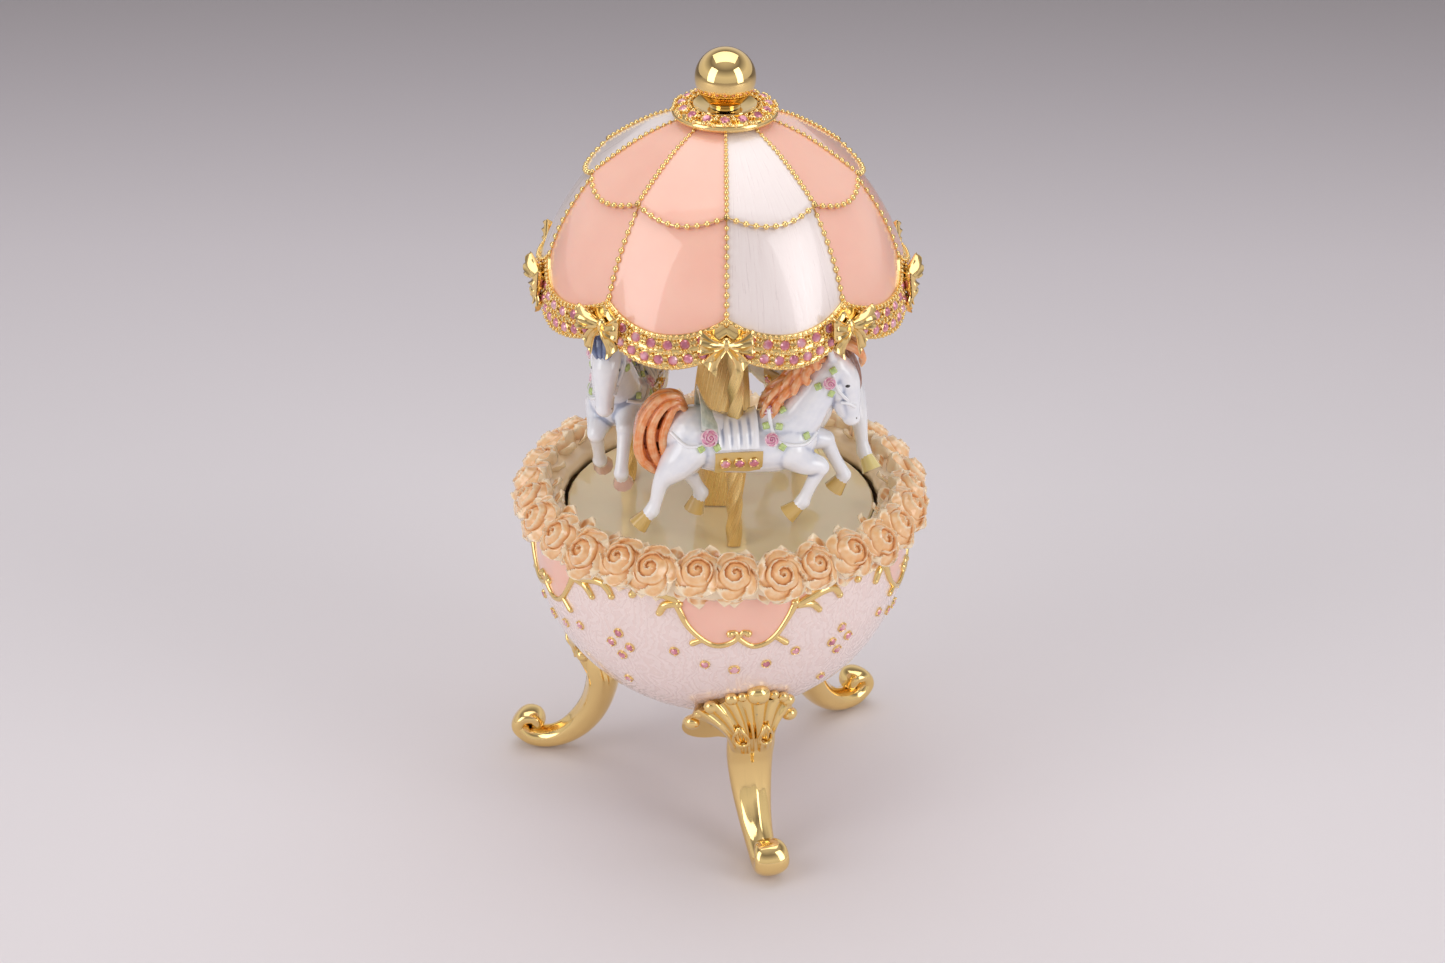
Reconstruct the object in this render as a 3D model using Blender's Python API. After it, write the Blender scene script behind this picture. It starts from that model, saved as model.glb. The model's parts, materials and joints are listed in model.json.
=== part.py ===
"""Carousel music box in the style of a jewelled egg, standing on three scrolled legs.

Metres, +Z up. The origin is on the turning axis at floor level. The carousel, with its horses and its
canopy, turns on the shaft of the spring barrel, whose crown wheel drives the pinned cylinder, the
governor wheel and the worm with its air brake. The winding key hangs under the bowl.
"""

import math

import bmesh
import bpy
from mathutils import Matrix, Vector

# ---------------------------------------------------------------- driving dimensions
TOTAL_HEIGHT = 0.180
TOUCH_GAP = 0.0003  # left between pieces that touch
RUNNING = 0.00006  # radial clearance of a shaft in its bearing
SLIP = 0.0002  # radial room round a screw or a pin in its hole

# Bowl: the lower half of an egg
BOWL_RADIUS = 0.0422
BOWL_DEPTH = 0.0396
BOWL_CENTRE_Z = 0.0632
BOWL_RIM_Z = 0.0675
BOWL_WALL = 0.0016
BOSS_RADIUS = 0.0024
BOSS_HEIGHT = 0.0120
BOSS_CIRCLE = BOWL_RADIUS - 0.0059
BOSS_ANGLES = (62.0, 180.0, 298.0)

# Wreath of roses on the rim
ROSE_COUNT = 30
WREATH_CIRCLE = BOWL_RADIUS - 0.0017
WREATH_HALF_WIDTH = 0.0048
WREATH_HALF_HEIGHT = 0.0048
WREATH_LOBE_DEPTH = 0.10

# Legs
LEG_ANGLES = (284.8, 164.8, 44.8)
LEG_NAMES = ("leg_front", "leg_left", "leg_right")
TOE_CIRCLE = 0.0443
TOE_RADIUS = 0.0037
TOE_WIDTH = 0.0078
TOE_EDGE = 0.0016
TOE_SINK = 0.0003  # how much of the round toe is ground flat to stand on
BRACKET_TOP = 25.0  # degrees below the bowl's widest circle
BRACKET_MIDDLE = 35.0
BRACKET_BOTTOM = 46.0
LEG_SCREW_ANGLE = 39.0
LEG_SCREW_RADIUS = 0.0010
LEG_SCREW_REACH = 0.0040

# Carousel
TURNTABLE_TOP_Z = 0.0724
TURNTABLE_RADIUS = BOWL_RADIUS - 0.0077
TURNTABLE_THICKNESS = 0.0020
HUB_RADIUS = 0.0050
HUB_HEIGHT = 0.0044
SHAFT_RADIUS = 0.0015
COLUMN_SIDE = 0.0094
COLUMN_TWIST = 200.0  # degrees from bottom to top
POLE_COUNT = 3
POLE_CIRCLE = 0.02265
POLE_RADIUS = 0.0018
POLE_TURNS = 3.0
FIRST_POLE_ANGLE = 277.6
HORSE_TURNS = (0.0, 12.0, 0.0)  # degrees each horse is turned on its pole
HORSE_VOXEL = 0.0007
HORSE_FACES_KEPT = 0.024

# Canopy: nine gores between ribs, an upper tier that ends in swags over a lower tier
GORE_COUNT = 9
FIRST_RIB_ANGLE = 271.2
CANOPY_WALL = 0.0015
CROWN_RADIUS = 0.0095
CROWN_Z = TOTAL_HEIGHT - 0.0154
SWAG_RADIUS = 0.0280
SWAG_Z = CROWN_Z - 0.0113
SWAG_DROP = 0.0022
SWAG_BULGE = 0.0013
SWAG_STEP = 0.0010  # how far the upper tier stands proud of the lower one
RIM_RADIUS = 0.0392
RIM_Z = SWAG_Z - 0.0250
RIM_BULGE = 0.0020
SCALLOP_DROP = 0.0048
UPPER_SLOPE = 0.70  # 1 makes the upper tier a cone, 0 a dome
LOWER_ROUND = 0.85  # how much the lower tier swells between its ends
COLLAR_RADIUS = 0.0113
COLLAR_HEIGHT = 0.0028
BALL_RADIUS = 0.0066
FLANGE_RADIUS = 0.00675
NECK_RADIUS = 0.0045

# Movement
PLATE_RADIUS = BOWL_RADIUS - 0.0037
PLATE_THICKNESS = 0.0015
PLATE_SCREW_RADIUS = 0.0008
BEDPLATE_BOTTOM_Z = 0.0590
BEDPLATE_THICKNESS = 0.0016
BED_SCREWS = ((-0.0100, -0.0100), (-0.0100, 0.0100), (0.0320, -0.0090))
BARREL_RADIUS = 0.0105
BARREL_HEIGHT = 0.0120
BARREL_WALL = 0.0008
CROWN_TEETH = 30
CROWN_MODULE = 0.0008
CROWN_INNER = 0.0110
CROWN_OUTER = 0.0130
CYLINDER_PINION_TEETH = 10
WHEEL_MODULE = 0.0005
CYLINDER_WHEEL_TEETH = 26
GOVERNOR_TEETH = 18
CYLINDER_RADIUS = 0.0056
CYLINDER_START_X = 0.0150
CYLINDER_END_X = 0.0300
CYLINDER_PIN_HEIGHT = 0.0004
NOTES = 18
END_MARGIN = 0.0007  # bare drum left at each end of the tune
PINION_WIDTH = 0.0020
SHAFT_END_X = 0.0346
BRACKET_X = 0.0192
ARBOR_RADIUS = 0.0010
PIVOT_RADIUS = 0.0006
WORM_CORE = 0.0007
WORM_RADIUS = 0.00175
BRAKE_Z = 0.0424
BRAKE_REACH = 0.0030
BRAKE_THICKNESS = 0.0006
BRAKE_HEIGHT = 0.0024
RATCHET_TEETH = 16
RATCHET_RADIUS = 0.0058
RATCHET_ROOT = 0.0047
RATCHET_THICKNESS = 0.0014
BRIDGE_THICKNESS = 0.0010
KEY_SPAN = 0.0170
KEY_THICKNESS = 0.0018
KEY_HEIGHT = 0.0130

# ---------------------------------------------------------------- sizes worked out from them
BOWL_BOTTOM_Z = BOWL_CENTRE_Z - BOWL_DEPTH
WREATH_Z = BOWL_RIM_Z + TOUCH_GAP + WREATH_HALF_HEIGHT
BALL_Z = TOTAL_HEIGHT - BALL_RADIUS
PLATE_BOTTOM_Z = BEDPLATE_BOTTOM_Z + BEDPLATE_THICKNESS + TOUCH_GAP
PLATE_TOP_Z = PLATE_BOTTOM_Z + PLATE_THICKNESS
BOSS_TOP_Z = PLATE_BOTTOM_Z - TOUCH_GAP
FLANGE_TOP_Z = BEDPLATE_BOTTOM_Z - 0.0015
FLANGE_THICKNESS = 0.0015
CROWN_ROOT_Z = FLANGE_TOP_Z - FLANGE_THICKNESS
CROWN_TOOTH = 0.0013
PINION_PITCH = CROWN_MODULE * CYLINDER_PINION_TEETH / 2
CYLINDER_Z = CROWN_ROOT_Z - 0.0007 - PINION_PITCH
BARREL_BOTTOM_Z = FLANGE_TOP_Z - BARREL_HEIGHT
RATCHET_Z = BARREL_BOTTOM_Z - 0.0030
WHEEL_PITCH = WHEEL_MODULE * CYLINDER_WHEEL_TEETH / 2
GOVERNOR_PITCH = WHEEL_MODULE * GOVERNOR_TEETH / 2
GOVERNOR_Y = WHEEL_PITCH + GOVERNOR_PITCH
WORM_X = 0.0240
WORM_Y = GOVERNOR_Y + GOVERNOR_PITCH + 0.0013
WORM_LEAD = math.pi * WHEEL_MODULE
WHEEL_X = 0.0308
WHEEL_WIDTH = 0.0012


# ---------------------------------------------------------------- helpers
def clear_scene():
    for obj in list(bpy.data.objects):
        bpy.data.objects.remove(obj, do_unlink=True)


def channel(value):
    value = value / 255.0
    return value / 12.92 if value <= 0.04045 else ((value + 0.055) / 1.055) ** 2.4


def surface(name, colour, metallic, roughness):
    """A Principled material from an sRGB colour written as hex."""
    made = bpy.data.materials.new(name)
    made.use_nodes = True
    shader = made.node_tree.nodes["Principled BSDF"]
    parts = [channel(int(colour[at : at + 2], 16)) for at in (0, 2, 4)]
    shader.inputs["Base Color"].default_value = (*parts, 1.0)
    shader.inputs["Metallic"].default_value = metallic
    shader.inputs["Roughness"].default_value = roughness
    return made


def add_object(name, bm, material, smooth=True, sharp_angle=40.0, helper=False):
    """Puts a bmesh in the scene as an object, its normals facing out."""
    bmesh.ops.recalc_face_normals(bm, faces=bm.faces)
    mesh = bpy.data.meshes.new(name)
    bm.to_mesh(mesh)
    bm.free()
    obj = bpy.data.objects.new(name, mesh)
    bpy.context.scene.collection.objects.link(obj)
    if material is not None:
        mesh.materials.append(material)
    if smooth:
        mesh.shade_smooth()
        mesh.set_sharp_from_angle(angle=math.radians(sharp_angle))
    if helper:
        obj.hide_render = True
        obj.display_type = "WIRE"
    return obj


def boolean(obj, other, operation):
    """Joins or cuts with another object, which becomes a hidden helper."""
    other.hide_render = True
    other.display_type = "WIRE"
    modifier = obj.modifiers.new(other.name, "BOOLEAN")
    modifier.operation = operation
    modifier.solver = "EXACT"
    modifier.object = other
    return modifier


def polar(radius, degrees, z=0.0):
    angle = math.radians(degrees)
    return Vector((radius * math.cos(angle), radius * math.sin(angle), z))


def revolve(outline, segments, closed=False):
    """Turns an outline of (radius, z) points round Z. A radius of 0 becomes one point on the axis."""
    bm = bmesh.new()
    rings = []
    for radius, z in outline:
        if radius == 0.0:
            rings.append([bm.verts.new((0.0, 0.0, z))])
            continue
        ring = [bm.verts.new(polar(radius, 360.0 * step / segments, z)) for step in range(segments)]
        rings.append(ring)
    pairs = list(zip(rings, rings[1:]))
    if closed:
        pairs.append((rings[-1], rings[0]))
    for first, second in pairs:
        for step in range(segments):
            following = (step + 1) % segments
            if len(first) == 1:
                bm.faces.new((first[0], second[step], second[following]))
            elif len(second) == 1:
                bm.faces.new((first[step], second[0], first[following]))
            else:
                bm.faces.new((first[step], second[step], second[following], first[following]))
    return bm


def rod(radius, bottom, top, segments=24):
    return revolve([(0.0, top), (radius, top), (radius, bottom), (0.0, bottom)], segments)


def prism(outline, bottom, top):
    """Extrudes a flat outline of (x, y) points up Z."""
    bm = bmesh.new()
    lower = [bm.verts.new((x, y, bottom)) for x, y in outline]
    upper = [bm.verts.new((x, y, top)) for x, y in outline]
    bm.faces.new(lower[::-1])
    bm.faces.new(upper)
    count = len(outline)
    for step in range(count):
        following = (step + 1) % count
        bm.faces.new((lower[step], lower[following], upper[following], upper[step]))
    return bm


def block(low, high):
    outline = [(low[0], low[1]), (high[0], low[1]), (high[0], high[1]), (low[0], high[1])]
    return prism(outline, low[2], high[2])


def moved(bm, matrix):
    bmesh.ops.transform(bm, matrix=matrix, verts=bm.verts)
    return bm


def along_x(bm, x, y, z):
    """Lays a piece made along +Z down along +X, with its start at the given point."""
    return moved(bm, Matrix.Translation((x, y, z)) @ Matrix.Rotation(math.radians(90.0), 4, "Y"))


def loft(sections):
    """Skins a run of closed sections of equal point count, and closes both ends."""
    bm = bmesh.new()
    rings = [[bm.verts.new(point) for point in section] for section in sections]
    count = len(rings[0])
    for first, second in zip(rings, rings[1:]):
        for step in range(count):
            following = (step + 1) % count
            bm.faces.new((first[step], first[following], second[following], second[step]))
    bm.faces.new(rings[0][::-1])
    bm.faces.new(rings[-1])
    return bm


def gear_outline(module, teeth, phase_degrees=0.0, addendum=0.9, dedendum=1.25, tip=0.32, root=0.62):
    """A gear's outline with straight-sided teeth.

    tip and root are the tooth's widths in modules, times two."""
    pitch_radius = module * teeth / 2
    outer = pitch_radius + addendum * module
    inner = pitch_radius - dedendum * module
    tip_half = tip * module / outer
    root_half = root * module * 1.25 / inner
    points = []
    for tooth in range(teeth):
        middle = 2 * math.pi * tooth / teeth + math.radians(phase_degrees)
        for radius, offset in (
            (inner, -root_half),
            (outer, -tip_half),
            (outer, tip_half),
            (inner, root_half),
        ):
            angle = middle + offset
            points.append((radius * math.cos(angle), radius * math.sin(angle)))
    return points


def smooth_path(points, steps):
    """Points along a Catmull-Rom curve through the given ones. Each point is a tuple of numbers."""
    path = []
    padded = [points[0], *points, points[-1]]
    for index in range(1, len(padded) - 2):
        before, start, end, after = padded[index - 1 : index + 3]
        for step in range(steps):
            t = step / steps
            path.append(
                tuple(
                    0.5
                    * (
                        2 * b
                        + (c - a) * t
                        + (2 * a - 5 * b + 4 * c - d) * t * t
                        + (3 * b - a - 3 * c + d) * t * t * t
                    )
                    for a, b, c, d in zip(before, start, end, after)
                )
            )
    path.append(tuple(points[-1]))
    return path


# ---------------------------------------------------------------- the bowl and what stands on it
def bowl_point(degrees, offset=0.0):
    """(radius, z) on the bowl's outer surface, that many degrees below its widest circle, moved outwards."""
    angle = math.radians(degrees)
    radius = BOWL_RADIUS * math.cos(angle)
    drop = BOWL_DEPTH * math.sin(angle)
    normal = Vector((radius / BOWL_RADIUS**2, -drop / BOWL_DEPTH**2)).normalized()
    return radius + offset * normal.x, BOWL_CENTRE_Z - drop + offset * normal.y


def bowl_normal(degrees):
    radius, z = bowl_point(degrees)
    further, lower = bowl_point(degrees, 1.0)
    return Vector((further - radius, lower - z))


def make_bowl(enamel):
    key_hole = SHAFT_RADIUS + 0.0011
    lowest = math.degrees(math.acos(key_hole / BOWL_RADIUS))
    steps = 7
    outer = [(BOWL_RADIUS, BOWL_RIM_Z)]
    inner = [(BOWL_RADIUS - BOWL_WALL, BOWL_RIM_Z)]
    for step in range(steps + 1):
        degrees = lowest * step / steps
        outer.append(bowl_point(degrees))
        radius, z = bowl_point(degrees, -BOWL_WALL)
        inner.append((max(radius, key_hole), z))
    bowl = add_object("bowl_shell", revolve(outer + inner[::-1], 45, closed=True), enamel)
    for number, degrees in enumerate(BOSS_ANGLES, 1):
        place = Matrix.Translation(polar(BOSS_CIRCLE, degrees))
        boss = moved(rod(BOSS_RADIUS, BOSS_TOP_Z - BOSS_HEIGHT, BOSS_TOP_Z, 16), place)
        boolean(bowl, add_object(f"boss_{number}", boss, None, helper=True), "UNION")
        hole = moved(rod(PLATE_SCREW_RADIUS + SLIP, BOSS_TOP_Z - 0.0062, BOSS_TOP_Z + 0.001, 12), place)
        boolean(bowl, add_object(f"boss_hole_{number}", hole, None, helper=True), "DIFFERENCE")
    for number, degrees in enumerate(LEG_ANGLES, 1):
        hole = rod(LEG_SCREW_RADIUS + SLIP, -0.002, BOWL_WALL + 0.002, 12)
        moved(hole, leg_screw_place(degrees))
        boolean(bowl, add_object(f"leg_hole_{number}", hole, None, helper=True), "DIFFERENCE")
    return bowl


def leg_screw_place(degrees):
    """The frame of a leg's screw: it starts on the bowl's outer surface, and +Z points into the bowl."""
    radius, z = bowl_point(LEG_SCREW_ANGLE)
    normal = bowl_normal(LEG_SCREW_ANGLE)
    inwards = (polar(-normal.x, degrees) + Vector((0.0, 0.0, -normal.y))).normalized()
    turn = Vector((0.0, 0.0, 1.0)).rotation_difference(inwards).to_matrix().to_4x4()
    return Matrix.Translation(polar(radius, degrees, z)) @ turn


def make_wreath(enamel):
    """A ring of roses, one rounded lobe for each."""
    around, across = ROSE_COUNT * 2, 8
    bm = bmesh.new()
    rings = []
    for step in range(around):
        turn = 2 * math.pi * step / around
        swell = 1.0 - WREATH_LOBE_DEPTH * (1.0 - abs(math.cos(ROSE_COUNT * turn / 2)))
        ring = []
        for side in range(across):
            angle = 2 * math.pi * side / across
            radius = WREATH_CIRCLE + WREATH_HALF_WIDTH * swell * math.cos(angle)
            z = WREATH_Z + WREATH_HALF_HEIGHT * swell * math.sin(angle)
            ring.append(bm.verts.new(polar(radius, math.degrees(turn), z)))
        rings.append(ring)
    for step in range(around):
        first, second = rings[step], rings[(step + 1) % around]
        for side in range(across):
            following = (side + 1) % across
            bm.faces.new((first[side], second[side], second[following], first[following]))
    return add_object("rose_wreath", bm, enamel)


def leg_stations():
    """(radius, z, thickness, width) down a leg, from the acanthus bracket on the bowl to the toe."""
    stations = []
    for degrees, thickness, width in (
        (BRACKET_TOP, 0.0030, 0.0080),
        (BRACKET_TOP + 4.0, 0.0036, 0.0215),
        (BRACKET_MIDDLE, 0.0045, 0.0256),
        (BRACKET_BOTTOM, 0.0052, 0.0190),
    ):
        radius, z = bowl_point(degrees, thickness / 2 + TOUCH_GAP)
        stations.append((radius, z, thickness, width))
    stations += [
        (0.0288, 0.0250, 0.0066, 0.0125),
        (0.0278, 0.0200, 0.0068, 0.0107),
        (0.0299, 0.0133, 0.0063, 0.0092),
        (0.0332, 0.0079, 0.0058, 0.0076),
        (0.0374, 0.0042, 0.0054, 0.0064),
        (0.0415, 0.0028, 0.0052, 0.0060),
        (TOE_CIRCLE, 0.0035, 0.0048, 0.0058),
    ]
    return stations


def leg_sections(degrees):
    path = smooth_path(leg_stations(), 2)
    count = 8
    sections = []
    for index, (radius, z, thickness, width) in enumerate(path):
        before = path[max(index - 1, 0)]
        after = path[min(index + 1, len(path) - 1)]
        down = Vector((after[0] - before[0], after[1] - before[1])).normalized()
        out = Vector((-down.y, down.x))
        section = []
        for side in range(count):
            angle = 2 * math.pi * side / count
            across = abs(math.cos(angle)) ** 0.8 * math.copysign(width / 2, math.cos(angle))
            proud = abs(math.sin(angle)) ** 0.8 * math.copysign(thickness / 2, math.sin(angle))
            swing = math.degrees(across / radius)
            section.append(polar(radius + proud * out.x, degrees + swing, z + proud * out.y))
        sections.append(section)
    return sections


def make_leg(name, degrees, gold):
    leg = add_object(name, loft(leg_sections(degrees)), gold)
    place = Matrix.Translation(polar(TOE_CIRCLE, degrees, TOE_RADIUS - TOE_SINK))
    turn = Matrix.Rotation(math.radians(degrees), 4, "Z") @ Matrix.Rotation(math.radians(90.0), 4, "X")
    half = TOE_WIDTH / 2
    shoulder = TOE_EDGE * 0.35
    outline = [
        (0.0, half),
        (TOE_RADIUS - TOE_EDGE, half),
        (TOE_RADIUS - shoulder, half - shoulder),
        (TOE_RADIUS, half - TOE_EDGE),
    ]
    outline += [(radius, -z) for radius, z in outline[::-1]]
    toe = moved(revolve(outline, 20), place @ turn)
    boolean(leg, add_object(f"{name}_toe", toe, None, helper=True), "UNION")
    floor = block((-0.08, -0.08, -0.01), (0.08, 0.08, 0.0))
    boolean(leg, add_object(f"{name}_floor", floor, None, helper=True), "DIFFERENCE")
    hole = moved(rod(LEG_SCREW_RADIUS + SLIP, -LEG_SCREW_REACH - 0.0006, 0.002, 12), leg_screw_place(degrees))
    boolean(leg, add_object(f"{name}_hole", hole, None, helper=True), "DIFFERENCE")
    return leg


def screw(name, shank_radius, shank_length, place, steel):
    """A cheese-head screw. Its frame's origin is under the head, with +Z out of the head."""
    head_radius = shank_radius * 1.85
    head_height = shank_radius * 1.2
    outline = [
        (0.0, head_height),
        (head_radius, head_height),
        (head_radius, 0.0),
        (shank_radius, 0.0),
        (shank_radius, -shank_length),
        (0.0, -shank_length),
    ]
    bm = revolve(outline, 12)
    made = add_object(name, bm, steel)
    made.matrix_world = place
    slot = block(
        (-head_radius * 1.2, -shank_radius * 0.22, head_height * 0.5),
        (head_radius * 1.2, shank_radius * 0.22, head_height * 1.5),
    )
    cutter = add_object(f"{name}_slot", slot, None, helper=True)
    cutter.matrix_world = place
    boolean(made, cutter, "DIFFERENCE")
    return made


def make_base():
    blush = surface("blush enamel", "ECD3C8", 0.0, 0.25)
    peach = surface("peach rose enamel", "F0B98C", 0.0, 0.2)
    gold = surface("polished gold plate", "E3BC72", 1.0, 0.12)
    steel = surface("screw steel", "B5B7BA", 1.0, 0.3)
    brass = surface("movement brass", "C9A85B", 1.0, 0.3)
    make_bowl(blush)
    make_wreath(peach)
    for number, (name, degrees) in enumerate(zip(LEG_NAMES, LEG_ANGLES), 1):
        make_leg(name, degrees, gold)
        under_head = Matrix.Translation((0.0, 0.0, BOWL_WALL + TOUCH_GAP))
        place = leg_screw_place(degrees) @ under_head
        screw(f"leg_screw_{number}", LEG_SCREW_RADIUS, BOWL_WALL + LEG_SCREW_REACH, place, steel)
    key_bush_outer = SHAFT_RADIUS + 0.0009
    flange_bottom = BOWL_BOTTOM_Z - 0.0014
    bush = [
        (0.0042, BOWL_BOTTOM_Z - TOUCH_GAP),
        (0.0042, flange_bottom),
        (SHAFT_RADIUS + RUNNING, flange_bottom),
        (SHAFT_RADIUS + RUNNING, BOWL_BOTTOM_Z + 0.0030),
        (key_bush_outer, BOWL_BOTTOM_Z + 0.0030),
        (key_bush_outer, BOWL_BOTTOM_Z - TOUCH_GAP),
    ]
    add_object("key_bush", revolve(bush, 24, closed=True), brass)


# ---------------------------------------------------------------- the carousel
def canopy_shape(degrees, level):
    """(radius, z) on the canopy's outer surface. level runs from 0 at the crown to 2 at the rim, and 1 is
    the swag line where the upper tier ends. Each gore is a little rounder than its two ribs."""
    turn = math.radians(degrees - FIRST_RIB_ANGLE) * GORE_COUNT / 2
    between = abs(math.sin(turn))
    swag_z = SWAG_Z - SWAG_DROP * between
    swag_radius = SWAG_RADIUS + SWAG_BULGE * between
    if level <= 1.0:
        fall = UPPER_SLOPE * level + (1.0 - UPPER_SLOPE) * level**2
        radius = CROWN_RADIUS + (swag_radius - CROWN_RADIUS) * level
        return radius + SWAG_STEP * min(1.0, level * 3), CROWN_Z + (swag_z - CROWN_Z) * fall
    share = level - 1.0
    rim_radius = RIM_RADIUS + RIM_BULGE * between
    rim_z = RIM_Z - SCALLOP_DROP * between**0.7
    bend = share + LOWER_ROUND * share * (1.0 - share)
    radius = swag_radius + (rim_radius - swag_radius) * bend
    return radius, swag_z + (rim_z - swag_z) * share


def make_canopy(enamel):
    around = GORE_COUNT * 6
    levels = [0.0, 0.33, 0.67, 1.0, 1.001, 1.25, 1.5, 1.75, 2.0]
    bm = bmesh.new()
    sheets = []
    for inwards in (0.0, CANOPY_WALL):
        sheet = []
        for level in levels:
            if inwards and level == 1.0:
                continue
            ring = []
            for step in range(around):
                degrees = FIRST_RIB_ANGLE + 360.0 * step / around
                radius, z = canopy_shape(degrees, level)
                if inwards:
                    slope = min(level / 2.0, 1.0)
                    radius -= inwards * (0.30 + 0.70 * slope)
                    z -= inwards * (1.0 - slope) * 0.95
                ring.append(bm.verts.new(polar(radius, degrees, z)))
            sheet.append(ring)
        sheets.append(sheet)
    loop = sheets[0] + sheets[1][::-1]
    for first, second in zip(loop, loop[1:] + loop[:1]):
        for step in range(around):
            following = (step + 1) % around
            bm.faces.new((first[step], second[step], second[following], first[following]))
    return add_object("canopy", bm, enamel, sharp_angle=50.0)


def twisted_bar(half_width, corner, bottom, top, turns, steps, material, name, hollow=0.0):
    """A square bar with hollow-cut faces, twisted about its own axis. corner is its reach at the corners."""
    count = 8
    sections = []
    for step in range(steps + 1):
        share = step / steps
        spin = 360.0 * turns * share
        ring = []
        for side in range(count):
            reach = corner if side % 2 else half_width
            ring.append(polar(reach, spin + 45.0 * side, bottom + (top - bottom) * share))
        sections.append(ring)
    made = add_object(name, loft(sections), material, sharp_angle=20.0)
    if hollow:
        bore = rod(hollow, bottom - 0.001, top + 0.001, 16)
        boolean(made, add_object(f"{name}_bore", bore, None, helper=True), "DIFFERENCE")
    return made


# Where the horse's body runs: (forward, sideways, up from the turntable, radius) at each joint of a limb.
HORSE_LIMBS = (
    ((-0.0088, 0.0, 0.0270, 0.0066), (0.0000, 0.0, 0.0246, 0.0064), (0.0112, 0.0, 0.0252, 0.0067)),
    ((0.0125, 0.0, 0.0290, 0.0058), (0.0180, 0.0, 0.0372, 0.0043), (0.0222, 0.0, 0.0420, 0.0034)),
    ((0.0228, 0.0, 0.0422, 0.0033), (0.0246, 0.0, 0.0350, 0.0027), (0.0256, 0.0, 0.0292, 0.0021)),
    ((0.0100, 0.0, 0.0330, 0.0022), (0.0145, 0.0, 0.0395, 0.0022), (0.0200, 0.0, 0.0448, 0.0020)),
    (
        (-0.0120, 0.0, 0.0315, 0.0024),
        (-0.0155, 0.0, 0.0328, 0.0026),
        (-0.0195, 0.0, 0.0280, 0.0028),
        (-0.0198, 0.0, 0.0225, 0.0026),
        (-0.0160, 0.0, 0.0178, 0.0016),
    ),
    (
        (-0.0100, -0.0030, 0.0250, 0.0046),
        (-0.0166, -0.0034, 0.0190, 0.0024),
        (-0.0182, -0.0034, 0.0136, 0.0018),
    ),
    ((-0.0182, -0.0034, 0.0136, 0.0018), (-0.0210, -0.0034, 0.0114, 0.0022)),
    ((-0.0080, 0.0030, 0.0240, 0.0046), (-0.0092, 0.0034, 0.0160, 0.0022), (-0.0066, 0.0034, 0.0112, 0.0018)),
    ((-0.0066, 0.0034, 0.0112, 0.0018), (-0.0076, 0.0034, 0.0078, 0.0022)),
    ((0.0125, -0.0030, 0.0235, 0.0042), (0.0160, -0.0032, 0.0182, 0.0022), (0.0146, -0.0032, 0.0124, 0.0017)),
    ((0.0146, -0.0032, 0.0124, 0.0017), (0.0120, -0.0032, 0.0106, 0.0021)),
    ((0.0150, 0.0030, 0.0235, 0.0040), (0.0226, 0.0032, 0.0184, 0.0022), (0.0250, 0.0032, 0.0130, 0.0017)),
    ((0.0250, 0.0032, 0.0130, 0.0017), (0.0232, 0.0032, 0.0096, 0.0021)),
    ((-0.0062, 0.0, 0.0306, 0.0042), (0.0060, 0.0, 0.0298, 0.0042)),
)


def add_ball(bm, centre, radius):
    place = Matrix.Translation(centre)
    bmesh.ops.create_icosphere(bm, subdivisions=2, radius=radius, matrix=place)


def horse_blobs():
    """Overlapping balls along the horse's limbs, which the voxel remesh joins into one skin."""
    bm = bmesh.new()
    for limb in HORSE_LIMBS:
        for start, end in zip(limb, limb[1:]):
            length = (Vector(end[:3]) - Vector(start[:3])).length
            count = max(2, math.ceil(length / (min(start[3], end[3]) * 0.45)))
            for step in range(count + 1):
                share = step / count
                values = [a + (b - a) * share for a, b in zip(start, end)]
                add_ball(bm, Vector(values[:3]), values[3])
    return bm


def make_horse(number, degrees, enamel):
    horse = add_object(f"horse_{number}", horse_blobs(), enamel)
    skin = horse.modifiers.new("one skin", "REMESH")
    skin.mode = "VOXEL"
    skin.voxel_size = HORSE_VOXEL
    fewer = horse.modifiers.new("fewer faces", "DECIMATE")
    fewer.ratio = HORSE_FACES_KEPT
    bore = rod(POLE_RADIUS + SLIP, 0.0, 0.050, 12)
    hole = add_object(f"horse_{number}_bore", bore, None, helper=True)
    heading = degrees + 90.0 + HORSE_TURNS[number - 1]
    turn = Matrix.Rotation(math.radians(heading), 4, "Z")
    place = Matrix.Translation(polar(POLE_CIRCLE, degrees, TURNTABLE_TOP_Z)) @ turn
    horse.matrix_world = place
    hole.matrix_world = place
    boolean(horse, hole, "DIFFERENCE")
    return horse


def make_turntable(cream):
    bottom = TURNTABLE_TOP_Z - TURNTABLE_THICKNESS
    edge = 0.0004
    outline = [
        (TURNTABLE_RADIUS - edge, TURNTABLE_TOP_Z),
        (TURNTABLE_RADIUS, TURNTABLE_TOP_Z - edge),
        (TURNTABLE_RADIUS, bottom),
        (HUB_RADIUS, bottom),
        (HUB_RADIUS, bottom - HUB_HEIGHT),
        (SHAFT_RADIUS + SLIP, bottom - HUB_HEIGHT),
        (SHAFT_RADIUS + SLIP, TURNTABLE_TOP_Z),
    ]
    return add_object("turntable", revolve(outline, 45, closed=True), cream)


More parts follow.
